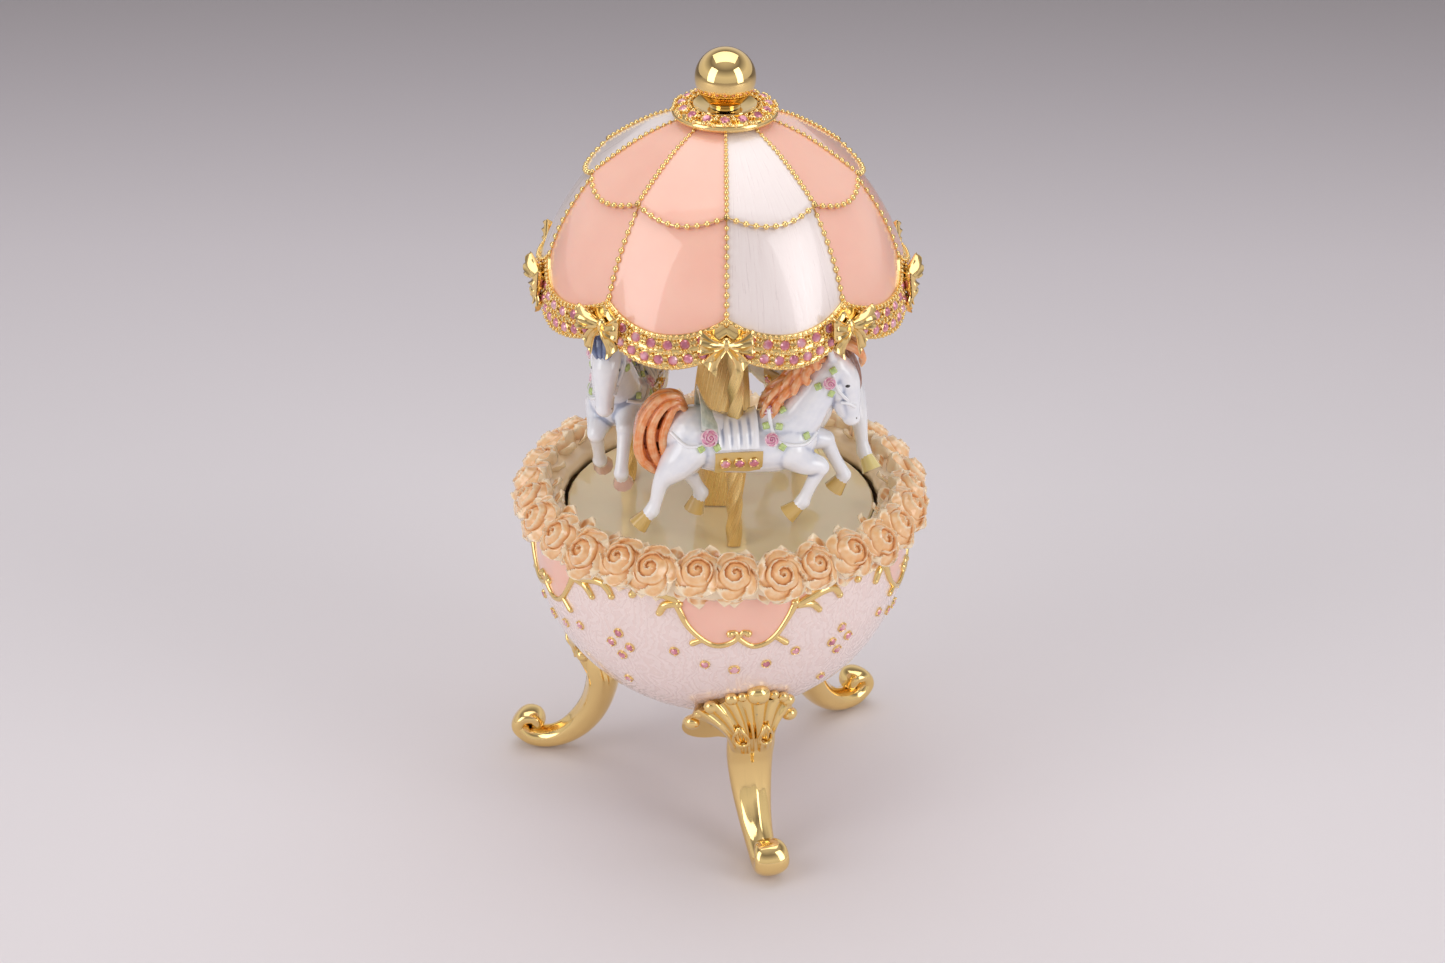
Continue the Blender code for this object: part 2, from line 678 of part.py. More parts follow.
def make_collar_and_finial(gold, rose_gold):
    low = CROWN_Z + TOUCH_GAP
    top = low + COLLAR_HEIGHT
    seat_z = low + COLLAR_HEIGHT * 0.48
    inner = SHAFT_RADIUS + SLIP
    collar = [
        (FLANGE_RADIUS + SLIP, seat_z),
        (FLANGE_RADIUS + SLIP + 0.0006, seat_z + 0.0008),
        (COLLAR_RADIUS * 0.80, top),
        (COLLAR_RADIUS * 0.93, top - COLLAR_HEIGHT * 0.15),
        (COLLAR_RADIUS, top - COLLAR_HEIGHT * 0.50),
        (COLLAR_RADIUS * 0.97, low + COLLAR_HEIGHT * 0.12),
        (COLLAR_RADIUS * 0.88, low),
        (inner, low),
        (inner, seat_z),
    ]
    add_object("crystal_collar", revolve(collar, 30, closed=True), rose_gold)
    foot_z = seat_z + TOUCH_GAP
    ball_end = math.pi - math.asin(NECK_RADIUS / BALL_RADIUS)
    outline = [(0.0, TOTAL_HEIGHT)]
    steps = 8
    for step in range(1, steps + 1):
        angle = ball_end * step / steps
        outline.append((BALL_RADIUS * math.sin(angle), BALL_Z + BALL_RADIUS * math.cos(angle)))
    outline += [
        (NECK_RADIUS * 0.97, foot_z + 0.0017),
        (NECK_RADIUS * 1.12, foot_z + 0.0010),
        (FLANGE_RADIUS, foot_z + 0.0005),
        (FLANGE_RADIUS, foot_z),
        (inner, foot_z),
        (inner, BALL_Z + 0.0005),
        (0.0, BALL_Z + 0.0005),
    ]
    add_object("finial", revolve(outline, 20), gold)


def make_carousel():
    cream = surface("champagne enamel", "CDB08C", 0.0, 0.15)
    gold = surface("twisted gold", "D9AE5B", 1.0, 0.22)
    pearl = surface("pearl white enamel", "E6E6EA", 0.0, 0.25)
    pink = surface("pink canopy enamel", "F4BFAE", 0.0, 0.2)
    polished = surface("finial gold", "EBC983", 1.0, 0.06)
    rose_gold = surface("crystal setting gold", "DDA98C", 1.0, 0.3)
    steel = surface("shaft steel", "AEB0B4", 1.0, 0.25)
    shaft_bottom = FLANGE_TOP_Z - 0.0030
    add_object("drive_shaft", rod(SHAFT_RADIUS, shaft_bottom, BALL_Z), steel)
    make_turntable(cream)
    column_bottom = TURNTABLE_TOP_Z + TOUCH_GAP
    column_top = CROWN_Z - CANOPY_WALL - 0.0012
    twisted_bar(
        COLUMN_SIDE / 2,
        COLUMN_SIDE * 0.68,
        column_bottom,
        column_top,
        COLUMN_TWIST / 360.0,
        24,
        gold,
        "twisted_column",
        SHAFT_RADIUS + SLIP,
    )
    pole_top = canopy_inner_z(POLE_CIRCLE + POLE_RADIUS) - TOUCH_GAP
    for number in range(1, POLE_COUNT + 1):
        degrees = FIRST_POLE_ANGLE - 360.0 * (number - 1) / POLE_COUNT
        name = f"pole_{number}"
        pole = twisted_bar(
            POLE_RADIUS * 0.80,
            POLE_RADIUS,
            0.0,
            pole_top - column_bottom,
            POLE_TURNS,
            18,
            gold,
            name,
        )
        pole.location = polar(POLE_CIRCLE, degrees, column_bottom)
        make_horse(number, degrees, pearl)
    make_canopy(pink)
    make_collar_and_finial(polished, rose_gold)


def canopy_inner_z(radius):
    """The height of the canopy's inner surface at a radius inside the upper tier, measured under a rib."""
    low, high = 0.0, 1.0
    for _ in range(40):
        middle = (low + high) / 2
        if canopy_shape(FIRST_RIB_ANGLE, middle)[0] < radius:
            low = middle
        else:
            high = middle
    return canopy_shape(FIRST_RIB_ANGLE, low)[1] - CANOPY_WALL * 1.6


# ---------------------------------------------------------------- the movement
def circle(radius, count):
    return [tuple(polar(radius, 360.0 * step / count)[:2]) for step in range(count)]


def drilled_plate(name, outline, bottom, top, holes, material):
    """A flat plate with round holes, each (x, y, radius)."""
    plate = add_object(name, prism(outline, bottom, top), material, smooth=False)
    for number, (x, y, radius) in enumerate(holes, 1):
        cut = moved(rod(radius, bottom - 0.001, top + 0.001, 12), Matrix.Translation((x, y, 0.0)))
        boolean(plate, add_object(f"{name}_hole_{number}", cut, None, helper=True), "DIFFERENCE")
    return plate


def make_plates(brass, steel):
    screw_hole = PLATE_SCREW_RADIUS + SLIP
    bed_screw_holes = [(x, y, screw_hole) for x, y in BED_SCREWS]
    holes = [(0.0, 0.0, HUB_RADIUS * 0.5), *bed_screw_holes]
    for number, degrees in enumerate(BOSS_ANGLES, 1):
        place = polar(BOSS_CIRCLE, degrees)
        holes.append((place.x, place.y, screw_hole))
        above = Matrix.Translation(polar(BOSS_CIRCLE, degrees, PLATE_TOP_Z + TOUCH_GAP))
        screw(f"plate_screw_{number}", PLATE_SCREW_RADIUS, 0.0060, above, steel)
    drilled_plate("mounting_plate", circle(PLATE_RADIUS, 40), PLATE_BOTTOM_Z, PLATE_TOP_Z, holes, brass)
    bush_top = TURNTABLE_TOP_Z - TURNTABLE_THICKNESS - HUB_HEIGHT - TOUCH_GAP
    bush = [
        (0.0046, bush_top),
        (0.0046, PLATE_TOP_Z + TOUCH_GAP),
        (HUB_RADIUS * 0.5 - SLIP, PLATE_TOP_Z + TOUCH_GAP),
        (HUB_RADIUS * 0.5 - SLIP, PLATE_BOTTOM_Z),
        (SHAFT_RADIUS + RUNNING, PLATE_BOTTOM_Z),
        (SHAFT_RADIUS + RUNNING, bush_top),
    ]
    add_object("shaft_bush", revolve(bush, 24, closed=True), brass)
    outline = [
        (-0.0165, -0.0140),
        (0.0110, -0.0205),
        (0.0300, -0.0205),
        (0.0348, -0.0120),
        (0.0348, 0.0140),
        (0.0280, 0.0200),
        (0.0180, 0.0200),
        (-0.0165, 0.0140),
    ]
    bed_top = BEDPLATE_BOTTOM_Z + BEDPLATE_THICKNESS
    holes = [(0.0, 0.0, SHAFT_RADIUS + 0.0010), (WORM_X, WORM_Y, PIVOT_RADIUS + RUNNING), *bed_screw_holes]
    drilled_plate("movement_bedplate", outline, BEDPLATE_BOTTOM_Z, bed_top, holes, brass)
    for number, (x, y) in enumerate(BED_SCREWS, 1):
        above = Matrix.Translation((x, y, PLATE_TOP_Z + TOUCH_GAP))
        length = PLATE_THICKNESS + BEDPLATE_THICKNESS + 2 * TOUCH_GAP
        screw(f"bedplate_screw_{number}", PLATE_SCREW_RADIUS, length, above, steel)


def make_barrel(brass, steel):
    """The spring barrel: a drum open at the bottom, under a flange with crown teeth on its lower face."""
    outer, inner = BARREL_RADIUS, BARREL_RADIUS - BARREL_WALL
    outline = [
        (SHAFT_RADIUS + SLIP, FLANGE_TOP_Z),
        (CROWN_OUTER, FLANGE_TOP_Z),
        (CROWN_OUTER, CROWN_ROOT_Z),
        (outer, CROWN_ROOT_Z),
        (outer, BARREL_BOTTOM_Z),
        (inner, BARREL_BOTTOM_Z),
        (inner, CROWN_ROOT_Z),
        (SHAFT_RADIUS + SLIP, CROWN_ROOT_Z),
    ]
    barrel = add_object("spring_barrel", revolve(outline, 40, closed=True), brass)
    teeth = bmesh.new()
    pitch = 2 * math.pi / CROWN_TEETH
    for tooth in range(CROWN_TEETH):
        middle = pitch * (tooth + 0.5)
        rows = []
        for radius in (CROWN_INNER, CROWN_OUTER - 0.0001):
            for z, half in ((CROWN_ROOT_Z + 0.0004, 0.00042), (CROWN_ROOT_Z - CROWN_TOOTH, 0.00024)):
                for side in (-1, 1):
                    angle = math.degrees(middle + side * half / radius)
                    rows.append(teeth.verts.new(polar(radius, angle, z)))
        for corners in ((0, 1, 3, 2), (4, 6, 7, 5), (0, 4, 5, 1), (2, 3, 7, 6), (0, 2, 6, 4), (1, 5, 7, 3)):
            teeth.faces.new([rows[corner] for corner in corners])
    boolean(barrel, add_object("crown_teeth", teeth, None, helper=True), "UNION")
    turns, steps = 4.5, 10
    coil_outer = inner - 0.0006
    coil_inner = SHAFT_RADIUS + 0.0016
    thickness = 0.0004
    low, high = BARREL_BOTTOM_Z + 0.0022, CROWN_ROOT_Z - 0.0008
    sections = []
    total = round(turns * steps)
    for step in range(total + 1):
        share = step / total
        radius = coil_outer + (coil_inner - coil_outer) * share
        degrees = 360.0 * turns * share
        sections.append(
            [
                polar(radius, degrees, low),
                polar(radius - thickness, degrees, low),
                polar(radius - thickness, degrees, high),
                polar(radius, degrees, high),
            ]
        )
    add_object("mainspring", loft(sections), steel)


def comb_and_block(brass, steel):
    """The steel comb, its teeth ending just clear of the cylinder's pins, and the block it is screwed to."""
    tip_y = -(CYLINDER_RADIUS + CYLINDER_PIN_HEIGHT + 0.0001)
    back_y, root_y = -0.0205, -0.0150
    low_z, high_z = CYLINDER_Z, CYLINDER_Z + 0.0008
    pitch = (CYLINDER_END_X - CYLINDER_START_X - 2 * END_MARGIN) / NOTES
    outline = [(CYLINDER_START_X, back_y), (CYLINDER_END_X, back_y), (CYLINDER_END_X, root_y)]
    first_x = CYLINDER_START_X + END_MARGIN + pitch / 2
    for note in reversed(range(NOTES)):
        x = first_x + pitch * note
        half = pitch * 0.34
        outline += [(x + half, root_y), (x + half * 0.8, tip_y), (x - half * 0.8, tip_y), (x - half, root_y)]
    outline.append((CYLINDER_START_X, root_y))
    comb = add_object("comb", prism(outline, low_z, high_z), steel, smooth=False)
    low = (CYLINDER_START_X, back_y, high_z + TOUCH_GAP)
    high = (CYLINDER_END_X, root_y - 0.0006, BEDPLATE_BOTTOM_Z - TOUCH_GAP)
    comb_block = add_object("comb_block", block(low, high), brass, smooth=False)
    for number, share in enumerate((0.25, 0.75), 1):
        x = CYLINDER_START_X + (CYLINDER_END_X - CYLINDER_START_X) * share
        y = (back_y + root_y) / 2
        place = Matrix.Translation((x, y, 0.0))
        cut = moved(rod(PLATE_SCREW_RADIUS + SLIP, low_z - 0.001, high_z + 0.0052, 12), place)
        cutter = add_object(f"comb_hole_{number}", cut, None, helper=True)
        boolean(comb, cutter, "DIFFERENCE")
        boolean(comb_block, cutter, "DIFFERENCE")
        flip = Matrix.Rotation(math.pi, 4, "X")
        under = Matrix.Translation((x, y, low_z - TOUCH_GAP)) @ flip
        screw(f"comb_screw_{number}", PLATE_SCREW_RADIUS, 0.0048, under, steel)


def pinned_cylinder(brass):
    """The drum of the tune: a grid of cells, one column for each note, with the sounding cells raised."""
    around, start, end = 24, CYLINDER_START_X, CYLINDER_END_X
    pitch = (end - start - 2 * END_MARGIN) / NOTES
    stations = [start] + [start + END_MARGIN + pitch * note for note in range(NOTES + 1)] + [end]
    bm = bmesh.new()
    rings = []
    for x in stations:
        ring = []
        for step in range(around):
            angle = 2 * math.pi * step / around
            y, z = CYLINDER_RADIUS * math.cos(angle), CYLINDER_RADIUS * math.sin(angle)
            ring.append(bm.verts.new((x, y, z)))
        rings.append(ring)
    raised = []
    for note, (first, second) in enumerate(zip(rings, rings[1:])):
        for step in range(around):
            following = (step + 1) % around
            face = bm.faces.new((first[step], second[step], second[following], first[following]))
            plays = 0 < note <= NOTES and (note * 7 + step * 5) % 24 == 3
            if plays:
                raised.append(face)
    for ring in (rings[0][::-1], rings[-1]):
        bm.faces.new(ring)
    bmesh.ops.inset_individual(bm, faces=raised, thickness=0.00024)
    for face in raised:
        middle = face.calc_center_median()
        outwards = Vector((0.0, middle.y, middle.z)).normalized()
        pulled = bmesh.ops.extrude_discrete_faces(bm, faces=[face])["faces"][0]
        for vert in pulled.verts:
            vert.co += outwards * CYLINDER_PIN_HEIGHT
    moved(bm, Matrix.Translation((0.0, 0.0, CYLINDER_Z)))
    cylinder = add_object("pinned_cylinder", bm, brass, sharp_angle=25.0)
    bore = along_x(rod(ARBOR_RADIUS + SLIP, -0.001, end - start + 0.001, 16), start, 0.0, CYLINDER_Z)
    boolean(cylinder, add_object("cylinder_bore", bore, None, helper=True), "DIFFERENCE")


def cylinder_train(brass, steel):
    pinned_cylinder(brass)
    arbor_start, arbor_end = CROWN_INNER, SHAFT_END_X
    arbor = rod(ARBOR_RADIUS, 0.0, arbor_end - arbor_start, 16)
    teeth = gear_outline(CROWN_MODULE, CYLINDER_PINION_TEETH, 180.0, 0.66, 1.0, 0.26, 0.36)
    pinion = along_x(prism(teeth, 0.0, PINION_WIDTH), arbor_start, 0.0, CYLINDER_Z)
    made = add_object("cylinder_arbor", along_x(arbor, arbor_start, 0.0, CYLINDER_Z), steel)
    boolean(made, add_object("arbor_pinion", pinion, None, helper=True), "UNION")
    wheel = prism(gear_outline(WHEEL_MODULE, CYLINDER_WHEEL_TEETH, 90.0), 0.0, WHEEL_WIDTH)
    made = add_object("cylinder_wheel", along_x(wheel, WHEEL_X, 0.0, CYLINDER_Z), brass, smooth=False)
    bore = along_x(rod(ARBOR_RADIUS + SLIP, -0.001, WHEEL_WIDTH + 0.001, 16), WHEEL_X, 0.0, CYLINDER_Z)
    boolean(made, add_object("wheel_bore", bore, None, helper=True), "DIFFERENCE")


def governor_train(brass, steel):
    """The governor's wheel shaft, and the upright worm that it spins, with two air-brake blades."""
    gap_at_side = 90.0 + 180.0 / GOVERNOR_TEETH
    start, end = BRACKET_X - 0.0004, SHAFT_END_X
    pivots = along_x(rod(PIVOT_RADIUS, 0.0, end - start, 16), start, GOVERNOR_Y, CYLINDER_Z)
    shaft = add_object("governor_wheel", pivots, brass)
    for name, x in (("governor_pinion", WHEEL_X), ("worm_wheel", WORM_X - WHEEL_WIDTH / 2)):
        gear = prism(gear_outline(WHEEL_MODULE, GOVERNOR_TEETH, gap_at_side), 0.0, WHEEL_WIDTH)
        helper = add_object(name, along_x(gear, x, GOVERNOR_Y, CYLINDER_Z), None, helper=True)
        boolean(shaft, helper, "UNION")
    core_low, core_high = BRAKE_Z - 0.0018, BEDPLATE_BOTTOM_Z + BEDPLATE_THICKNESS * 0.8
    core = [
        (0.0, core_high),
        (PIVOT_RADIUS, core_high),
        (PIVOT_RADIUS, BEDPLATE_BOTTOM_Z - 0.0004),
        (WORM_CORE, BEDPLATE_BOTTOM_Z - 0.0006),
        (WORM_CORE, BRAKE_Z - 0.0004),
        (PIVOT_RADIUS, BRAKE_Z - 0.0006),
        (PIVOT_RADIUS, core_low),
        (0.0, core_low),
    ]
    place = Matrix.Translation((WORM_X, WORM_Y, 0.0))
    worm = add_object("governor_worm", moved(revolve(core, 16), place), steel)
    turns, steps = 3.0, 10
    sections = []
    total = round(turns * steps)
    for step in range(total + 1):
        degrees = -90.0 + 360.0 * (step / steps - turns / 2)
        z = CYLINDER_Z + WORM_LEAD * (degrees + 90.0) / 360.0
        sections.append(
            [
                polar(WORM_CORE * 0.7, degrees, z - 0.00028),
                polar(WORM_RADIUS, degrees, z - 0.00016),
                polar(WORM_RADIUS, degrees, z + 0.00016),
                polar(WORM_CORE * 0.7, degrees, z + 0.00028),
            ]
        )
    thread = add_object("worm_thread", moved(loft(sections), place), None, helper=True)
    boolean(worm, thread, "UNION")
    half_thick = BRAKE_THICKNESS / 2
    blade = block((-BRAKE_REACH, -half_thick, 0.0), (BRAKE_REACH, half_thick, BRAKE_HEIGHT))
    blades = add_object("air_brake", blade, brass, smooth=False)
    hub = rod(WORM_CORE + 0.0007, 0.0, BRAKE_HEIGHT, 16)
    boolean(blades, add_object("brake_hub", hub, None, helper=True), "UNION")
    bore = rod(WORM_CORE + SLIP, -0.001, BRAKE_HEIGHT + 0.001, 16)
    boolean(blades, add_object("brake_bore", bore, None, helper=True), "DIFFERENCE")
    for piece in (blades, *[modifier.object for modifier in blades.modifiers]):
        piece.location = (WORM_X, WORM_Y, BRAKE_Z)


def bearings(brass):
    """Posts that hang from the bedplate and carry the ends of the shafts."""
    top = BEDPLATE_BOTTOM_Z - TOUCH_GAP
    posts = (
        (
            "cylinder_post_inner",
            (0.0134, -0.0030, CYLINDER_Z - 0.0028),
            (0.0144, 0.0030, top),
            ((0.0, ARBOR_RADIUS),),
        ),
        (
            "cylinder_post_outer",
            (0.0328, -0.0030, CYLINDER_Z - 0.0028),
            (0.0338, 0.0132, top),
            ((0.0, ARBOR_RADIUS), (GOVERNOR_Y, PIVOT_RADIUS)),
        ),
    )
    for name, low, high, holes in posts:
        post = add_object(name, block(low, high), brass, smooth=False)
        for number, (y, radius) in enumerate(holes, 1):
            cut = along_x(rod(radius + RUNNING, -0.002, 0.003, 20), low[0], y, CYLINDER_Z)
            boolean(post, add_object(f"{name}_hole_{number}", cut, None, helper=True), "DIFFERENCE")
    bracket_low = BRAKE_Z - 0.0022
    wall = block((BRACKET_X, GOVERNOR_Y - 0.0020, bracket_low), (BRACKET_X + 0.0010, WORM_Y + 0.0018, top))
    bracket = add_object("governor_bracket", wall, brass, smooth=False)
    arm = block(
        (BRACKET_X, WORM_Y - 0.0018, bracket_low), (WORM_X + 0.0018, WORM_Y + 0.0018, bracket_low + 0.0011)
    )
    boolean(bracket, add_object("bracket_arm", arm, None, helper=True), "UNION")
    cut = along_x(rod(PIVOT_RADIUS + RUNNING, -0.002, 0.003, 20), BRACKET_X, GOVERNOR_Y, CYLINDER_Z)
    boolean(bracket, add_object("bracket_hole_1", cut, None, helper=True), "DIFFERENCE")
    place = Matrix.Translation((WORM_X, WORM_Y, 0.0))
    cut = moved(rod(PIVOT_RADIUS + RUNNING, bracket_low - 0.001, bracket_low + 0.002, 20), place)
    boolean(bracket, add_object("bracket_hole_2", cut, None, helper=True), "DIFFERENCE")


def winding_gear(gold, brass, steel):
    """The winding arbor runs from the key under the bowl up into the barrel, through the ratchet wheel."""
    arbor_top = FLANGE_TOP_Z - 0.0030 - TOUCH_GAP * 2
    key_top = BOWL_BOTTOM_Z - 0.0022
    add_object("winding_arbor", rod(SHAFT_RADIUS, key_top - 0.0040, arbor_top, 24), steel)
    outline = []
    for tooth in range(RATCHET_TEETH):
        for radius, share in ((RATCHET_RADIUS, 0.0), (RATCHET_ROOT, 0.12)):
            angle = 2 * math.pi * (tooth + share) / RATCHET_TEETH
            outline.append((radius * math.cos(angle), radius * math.sin(angle)))
    ratchet_top = RATCHET_Z + RATCHET_THICKNESS
    wheel = add_object("ratchet_wheel", prism(outline, RATCHET_Z, ratchet_top), brass, smooth=False)
    bore = rod(SHAFT_RADIUS + SLIP, RATCHET_Z - 0.001, ratchet_top + 0.001, 24)
    boolean(wheel, add_object("ratchet_bore", bore, None, helper=True), "DIFFERENCE")
    half, thick = KEY_SPAN / 2, KEY_THICKNESS / 2
    key_low = key_top - KEY_HEIGHT
    centre_z = (key_top - 0.0050 + key_low) / 2
    outline = [
        (0.0, key_top),
        (0.0029, key_top),
        (0.0029, key_top - 0.0052),
        (0.0020, key_top - 0.0062),
        (0.0020, centre_z),
        (0.0, centre_z),
    ]
    key = add_object("winding_key", revolve(outline, 20), gold)
    wing = bmesh.new()
    outline = []
    tall = centre_z - key_low
    for step in range(32):
        angle = 2 * math.pi * step / 32
        waist = 0.62 + 0.38 * abs(math.cos(angle))
        outline.append((half * math.cos(angle), centre_z + tall * waist * math.sin(angle)))
    front = [wing.verts.new((x, -thick, z)) for x, z in outline]
    back = [wing.verts.new((x, thick, z)) for x, z in outline]
    wing.faces.new(front)
    wing.faces.new(back[::-1])
    for step in range(32):
        following = (step + 1) % 32
        wing.faces.new((front[step], back[step], back[following], front[following]))
    boolean(key, add_object("key_wings", wing, None, helper=True), "UNION")
    socket = rod(SHAFT_RADIUS + SLIP, key_top - 0.0043, key_top + 0.001, 20)
    boolean(key, add_object("key_socket", socket, None, helper=True), "DIFFERENCE")


def barrel_bridge(brass, steel):
    """The bridge that hangs from the bedplate, carries the winding arbor and holds the click on its wheel."""
    outer_x, inner_x = -CROWN_OUTER - 0.0022, -CROWN_OUTER - 0.0010
    half_width = 0.0030
    arm_top = RATCHET_Z - TOUCH_GAP
    arm_bottom = arm_top - BRIDGE_THICKNESS
    post = block((outer_x, -half_width, arm_bottom), (inner_x, half_width, BEDPLATE_BOTTOM_Z - TOUCH_GAP))
    bridge = add_object("barrel_bridge", post, brass, smooth=False)
    arm = block((outer_x, -half_width, arm_bottom), (RATCHET_ROOT, half_width, arm_top))
    boolean(bridge, add_object("bridge_arm", arm, None, helper=True), "UNION")
    bore = rod(SHAFT_RADIUS + RUNNING, arm_bottom - 0.001, arm_top + 0.001, 24)
    boolean(bridge, add_object("bridge_bore", bore, None, helper=True), "DIFFERENCE")
    click_low = (inner_x + TOUCH_GAP, -0.0011, RATCHET_Z)
    click_high = (-RATCHET_RADIUS - TOUCH_GAP, 0.0011, RATCHET_Z + RATCHET_THICKNESS)
    add_object("ratchet_click", block(click_low, click_high), steel, smooth=False)


def make_movement():
    brass = surface("brass plate", "C7A55A", 1.0, 0.32)
    steel = surface("blued steel", "9FA3AA", 1.0, 0.28)
    gold = surface("key gold", "DDB667", 1.0, 0.18)
    make_plates(brass, steel)
    make_barrel(brass, steel)
    comb_and_block(brass, steel)
    cylinder_train(brass, steel)
    governor_train(brass, steel)
    bearings(brass)
    winding_gear(gold, brass, steel)
    barrel_bridge(brass, steel)


clear_scene()
make_base()
make_carousel()
make_movement()
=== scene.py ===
"""Carousel music box in the style of a jewelled egg: its looks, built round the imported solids.

Run it as a script. Each group of pieces is one operator, and main() calls them in order.
"""

import json
import math

import bpy
import numpy as np
from bpy.props import FloatProperty, FloatVectorProperty, IntProperty, PointerProperty
from mathutils import Matrix, Vector
from mathutils.bvhtree import BVHTree


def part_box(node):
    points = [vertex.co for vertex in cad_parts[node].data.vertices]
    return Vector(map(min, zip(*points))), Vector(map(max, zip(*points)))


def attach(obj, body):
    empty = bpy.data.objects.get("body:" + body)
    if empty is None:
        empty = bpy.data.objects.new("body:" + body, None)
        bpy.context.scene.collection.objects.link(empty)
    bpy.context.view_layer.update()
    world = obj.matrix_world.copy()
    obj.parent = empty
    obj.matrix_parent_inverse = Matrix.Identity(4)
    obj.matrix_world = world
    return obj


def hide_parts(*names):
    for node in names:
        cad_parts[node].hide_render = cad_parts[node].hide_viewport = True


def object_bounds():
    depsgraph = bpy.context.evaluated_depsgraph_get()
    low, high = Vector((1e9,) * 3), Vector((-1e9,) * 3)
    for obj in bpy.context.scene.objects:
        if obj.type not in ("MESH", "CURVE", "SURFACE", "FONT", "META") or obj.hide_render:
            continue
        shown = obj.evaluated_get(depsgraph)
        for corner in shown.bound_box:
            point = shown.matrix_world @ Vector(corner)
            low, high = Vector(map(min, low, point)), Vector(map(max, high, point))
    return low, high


bl_info = {
    "name": "Carousel music box",
    "version": (1, 0, 0),
    "blender": (4, 5, 0),
    "location": "3D View > Sidebar > Music box",
    "description": "Builds the enamel, gold, roses, crystals and horses of a carousel music box",
    "category": "Object",
}

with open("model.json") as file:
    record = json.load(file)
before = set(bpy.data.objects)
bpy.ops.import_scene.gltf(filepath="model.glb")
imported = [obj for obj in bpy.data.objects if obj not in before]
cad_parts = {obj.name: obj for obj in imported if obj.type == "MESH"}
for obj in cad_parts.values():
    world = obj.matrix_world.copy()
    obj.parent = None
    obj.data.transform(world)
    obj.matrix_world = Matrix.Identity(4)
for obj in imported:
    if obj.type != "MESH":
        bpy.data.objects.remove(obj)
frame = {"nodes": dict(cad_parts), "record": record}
CAD_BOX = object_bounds()

MM = 0.001
GORES = 9
GORE = 360.0 / GORES
FIRST_RIB = 271.2
TURNTABLE_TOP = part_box("turntable")[1].z
FLOOR_DIP = 0.0002  # how far the floor lies below the toes, so that they never share a plane

# Bowl: the lower half of an egg, round the vertical axis
BOWL_RADIUS = 42.2
BOWL_DEPTH = 39.6
BOWL_CENTRE = 63.2
BOWL_RIM = 69.3
BOWL_WALL = 1.6
KEY_HOLE = 2.9  # radius of the hole for the winding arbor
FIELD_TOP = 71.2  # the pink fields run up to here, under the roses

# Circles, heights and angles that several pieces share
WREATH_CIRCLE = 40.4
WREATH_MIDDLE = 72.8
FIRST_ROSE = 275.0
POLE_CIRCLE = 22.65
POLE_ANGLES = (277.6, 157.6, 37.6)
CROWN_RADIUS = 9.5
CROWN_Z = 164.6
SWAG_RADIUS = 28.0
SWAG_Z = 153.3
RIM_RADIUS = 39.2
RIM_Z = 128.3
LOWER_TIER = 28.4  # length of the lower tier's slope


# ---------------------------------------------------------------- settings a user would change
def length(name, description, default):
    """A length property in metres, given in millimetres."""
    return FloatProperty(
        name=name, description=description, default=default * MM, subtype="DISTANCE", unit="LENGTH"
    )


def linear(text):
    """An sRGB hex colour as linear red, green and blue."""
    channels = [int(text[at : at + 2], 16) / 255.0 for at in (0, 2, 4)]
    return [c / 12.92 if c <= 0.04045 else ((c + 0.055) / 1.055) ** 2.4 for c in channels]


def colour(name, description, default):
    """A colour property from an sRGB hex value."""
    return FloatVectorProperty(
        name=name, description=description, default=linear(default), size=3, subtype="COLOR", min=0.0, max=1.0
    )


class MusicBoxSizes(bpy.types.PropertyGroup):
    """Sizes of the ornament's small work."""

    bead: length("Bead", "Width of a gold bead on the canopy's ribs", 1.38)
    rim_crystal: length("Rim crystal", "Width of a crystal in the canopy's rim", 2.5)
    bowl_crystal: length("Bowl crystal", "Width of a crystal set in the bowl", 2.1)
    wire: length("Scroll wire", "Width of the raised gold scrolls on the bowl", 1.3)
    rose: length("Rose", "Width of one rose in the wreath", 12.3)
    bow: length("Bow", "Half the width of a bow on the canopy's rim", 5.7)
    roses: IntProperty(name="Roses", description="How many roses the wreath has", default=30, min=12, max=48)


class MusicBoxColours(bpy.types.PropertyGroup):
    """Colours of the enamels and metals."""

    gold: colour("Gold", "Polished gold plate", "F8D894")
    pink: colour("Pink enamel", "Canopy gores and cartouches", "FFC6B1")
    pearl: colour("Pearl enamel", "Pearl gores of the canopy", "F1E5E2")
    blush: colour("Blush enamel", "Brushed pearl enamel of the bowl", "F9E6E1")
    cream: colour("Champagne enamel", "The turning platform", "FFEEC4")
    crystal: colour("Crystal", "The set crystals", "E58A9C")


# ---------------------------------------------------------------- modelling helpers
def only(obj):
    """Selects one object and nothing else, and makes it the active one."""
    if bpy.context.mode != "OBJECT":
        bpy.ops.object.mode_set(mode="OBJECT")
    bpy.ops.object.select_all(action="DESELECT")
    obj.select_set(True)
    bpy.context.view_layer.objects.active = obj
    return obj


def full_turn(count):
    """Equal steps round a full turn, in radians."""
    return [2 * math.pi * step / count for step in range(count)]


def new_object(name, verts, edges=(), faces=()):
    """A mesh object from points, edges and faces."""
    mesh = bpy.data.meshes.new(name)
    mesh.from_pydata([tuple(v) for v in verts], list(edges), list(faces))
    obj = bpy.data.objects.new(name, mesh)
    bpy.context.scene.collection.objects.link(obj)
    return obj


def face_out(obj):
    """Merges doubles and turns every face outwards."""
    only(obj)
    bpy.ops.object.mode_set(mode="EDIT")
    bpy.ops.mesh.select_all(action="SELECT")
    bpy.ops.mesh.remove_doubles(threshold=1e-7)
    bpy.ops.mesh.normals_make_consistent(inside=False)
    bpy.ops.object.mode_set(mode="OBJECT")
    return obj


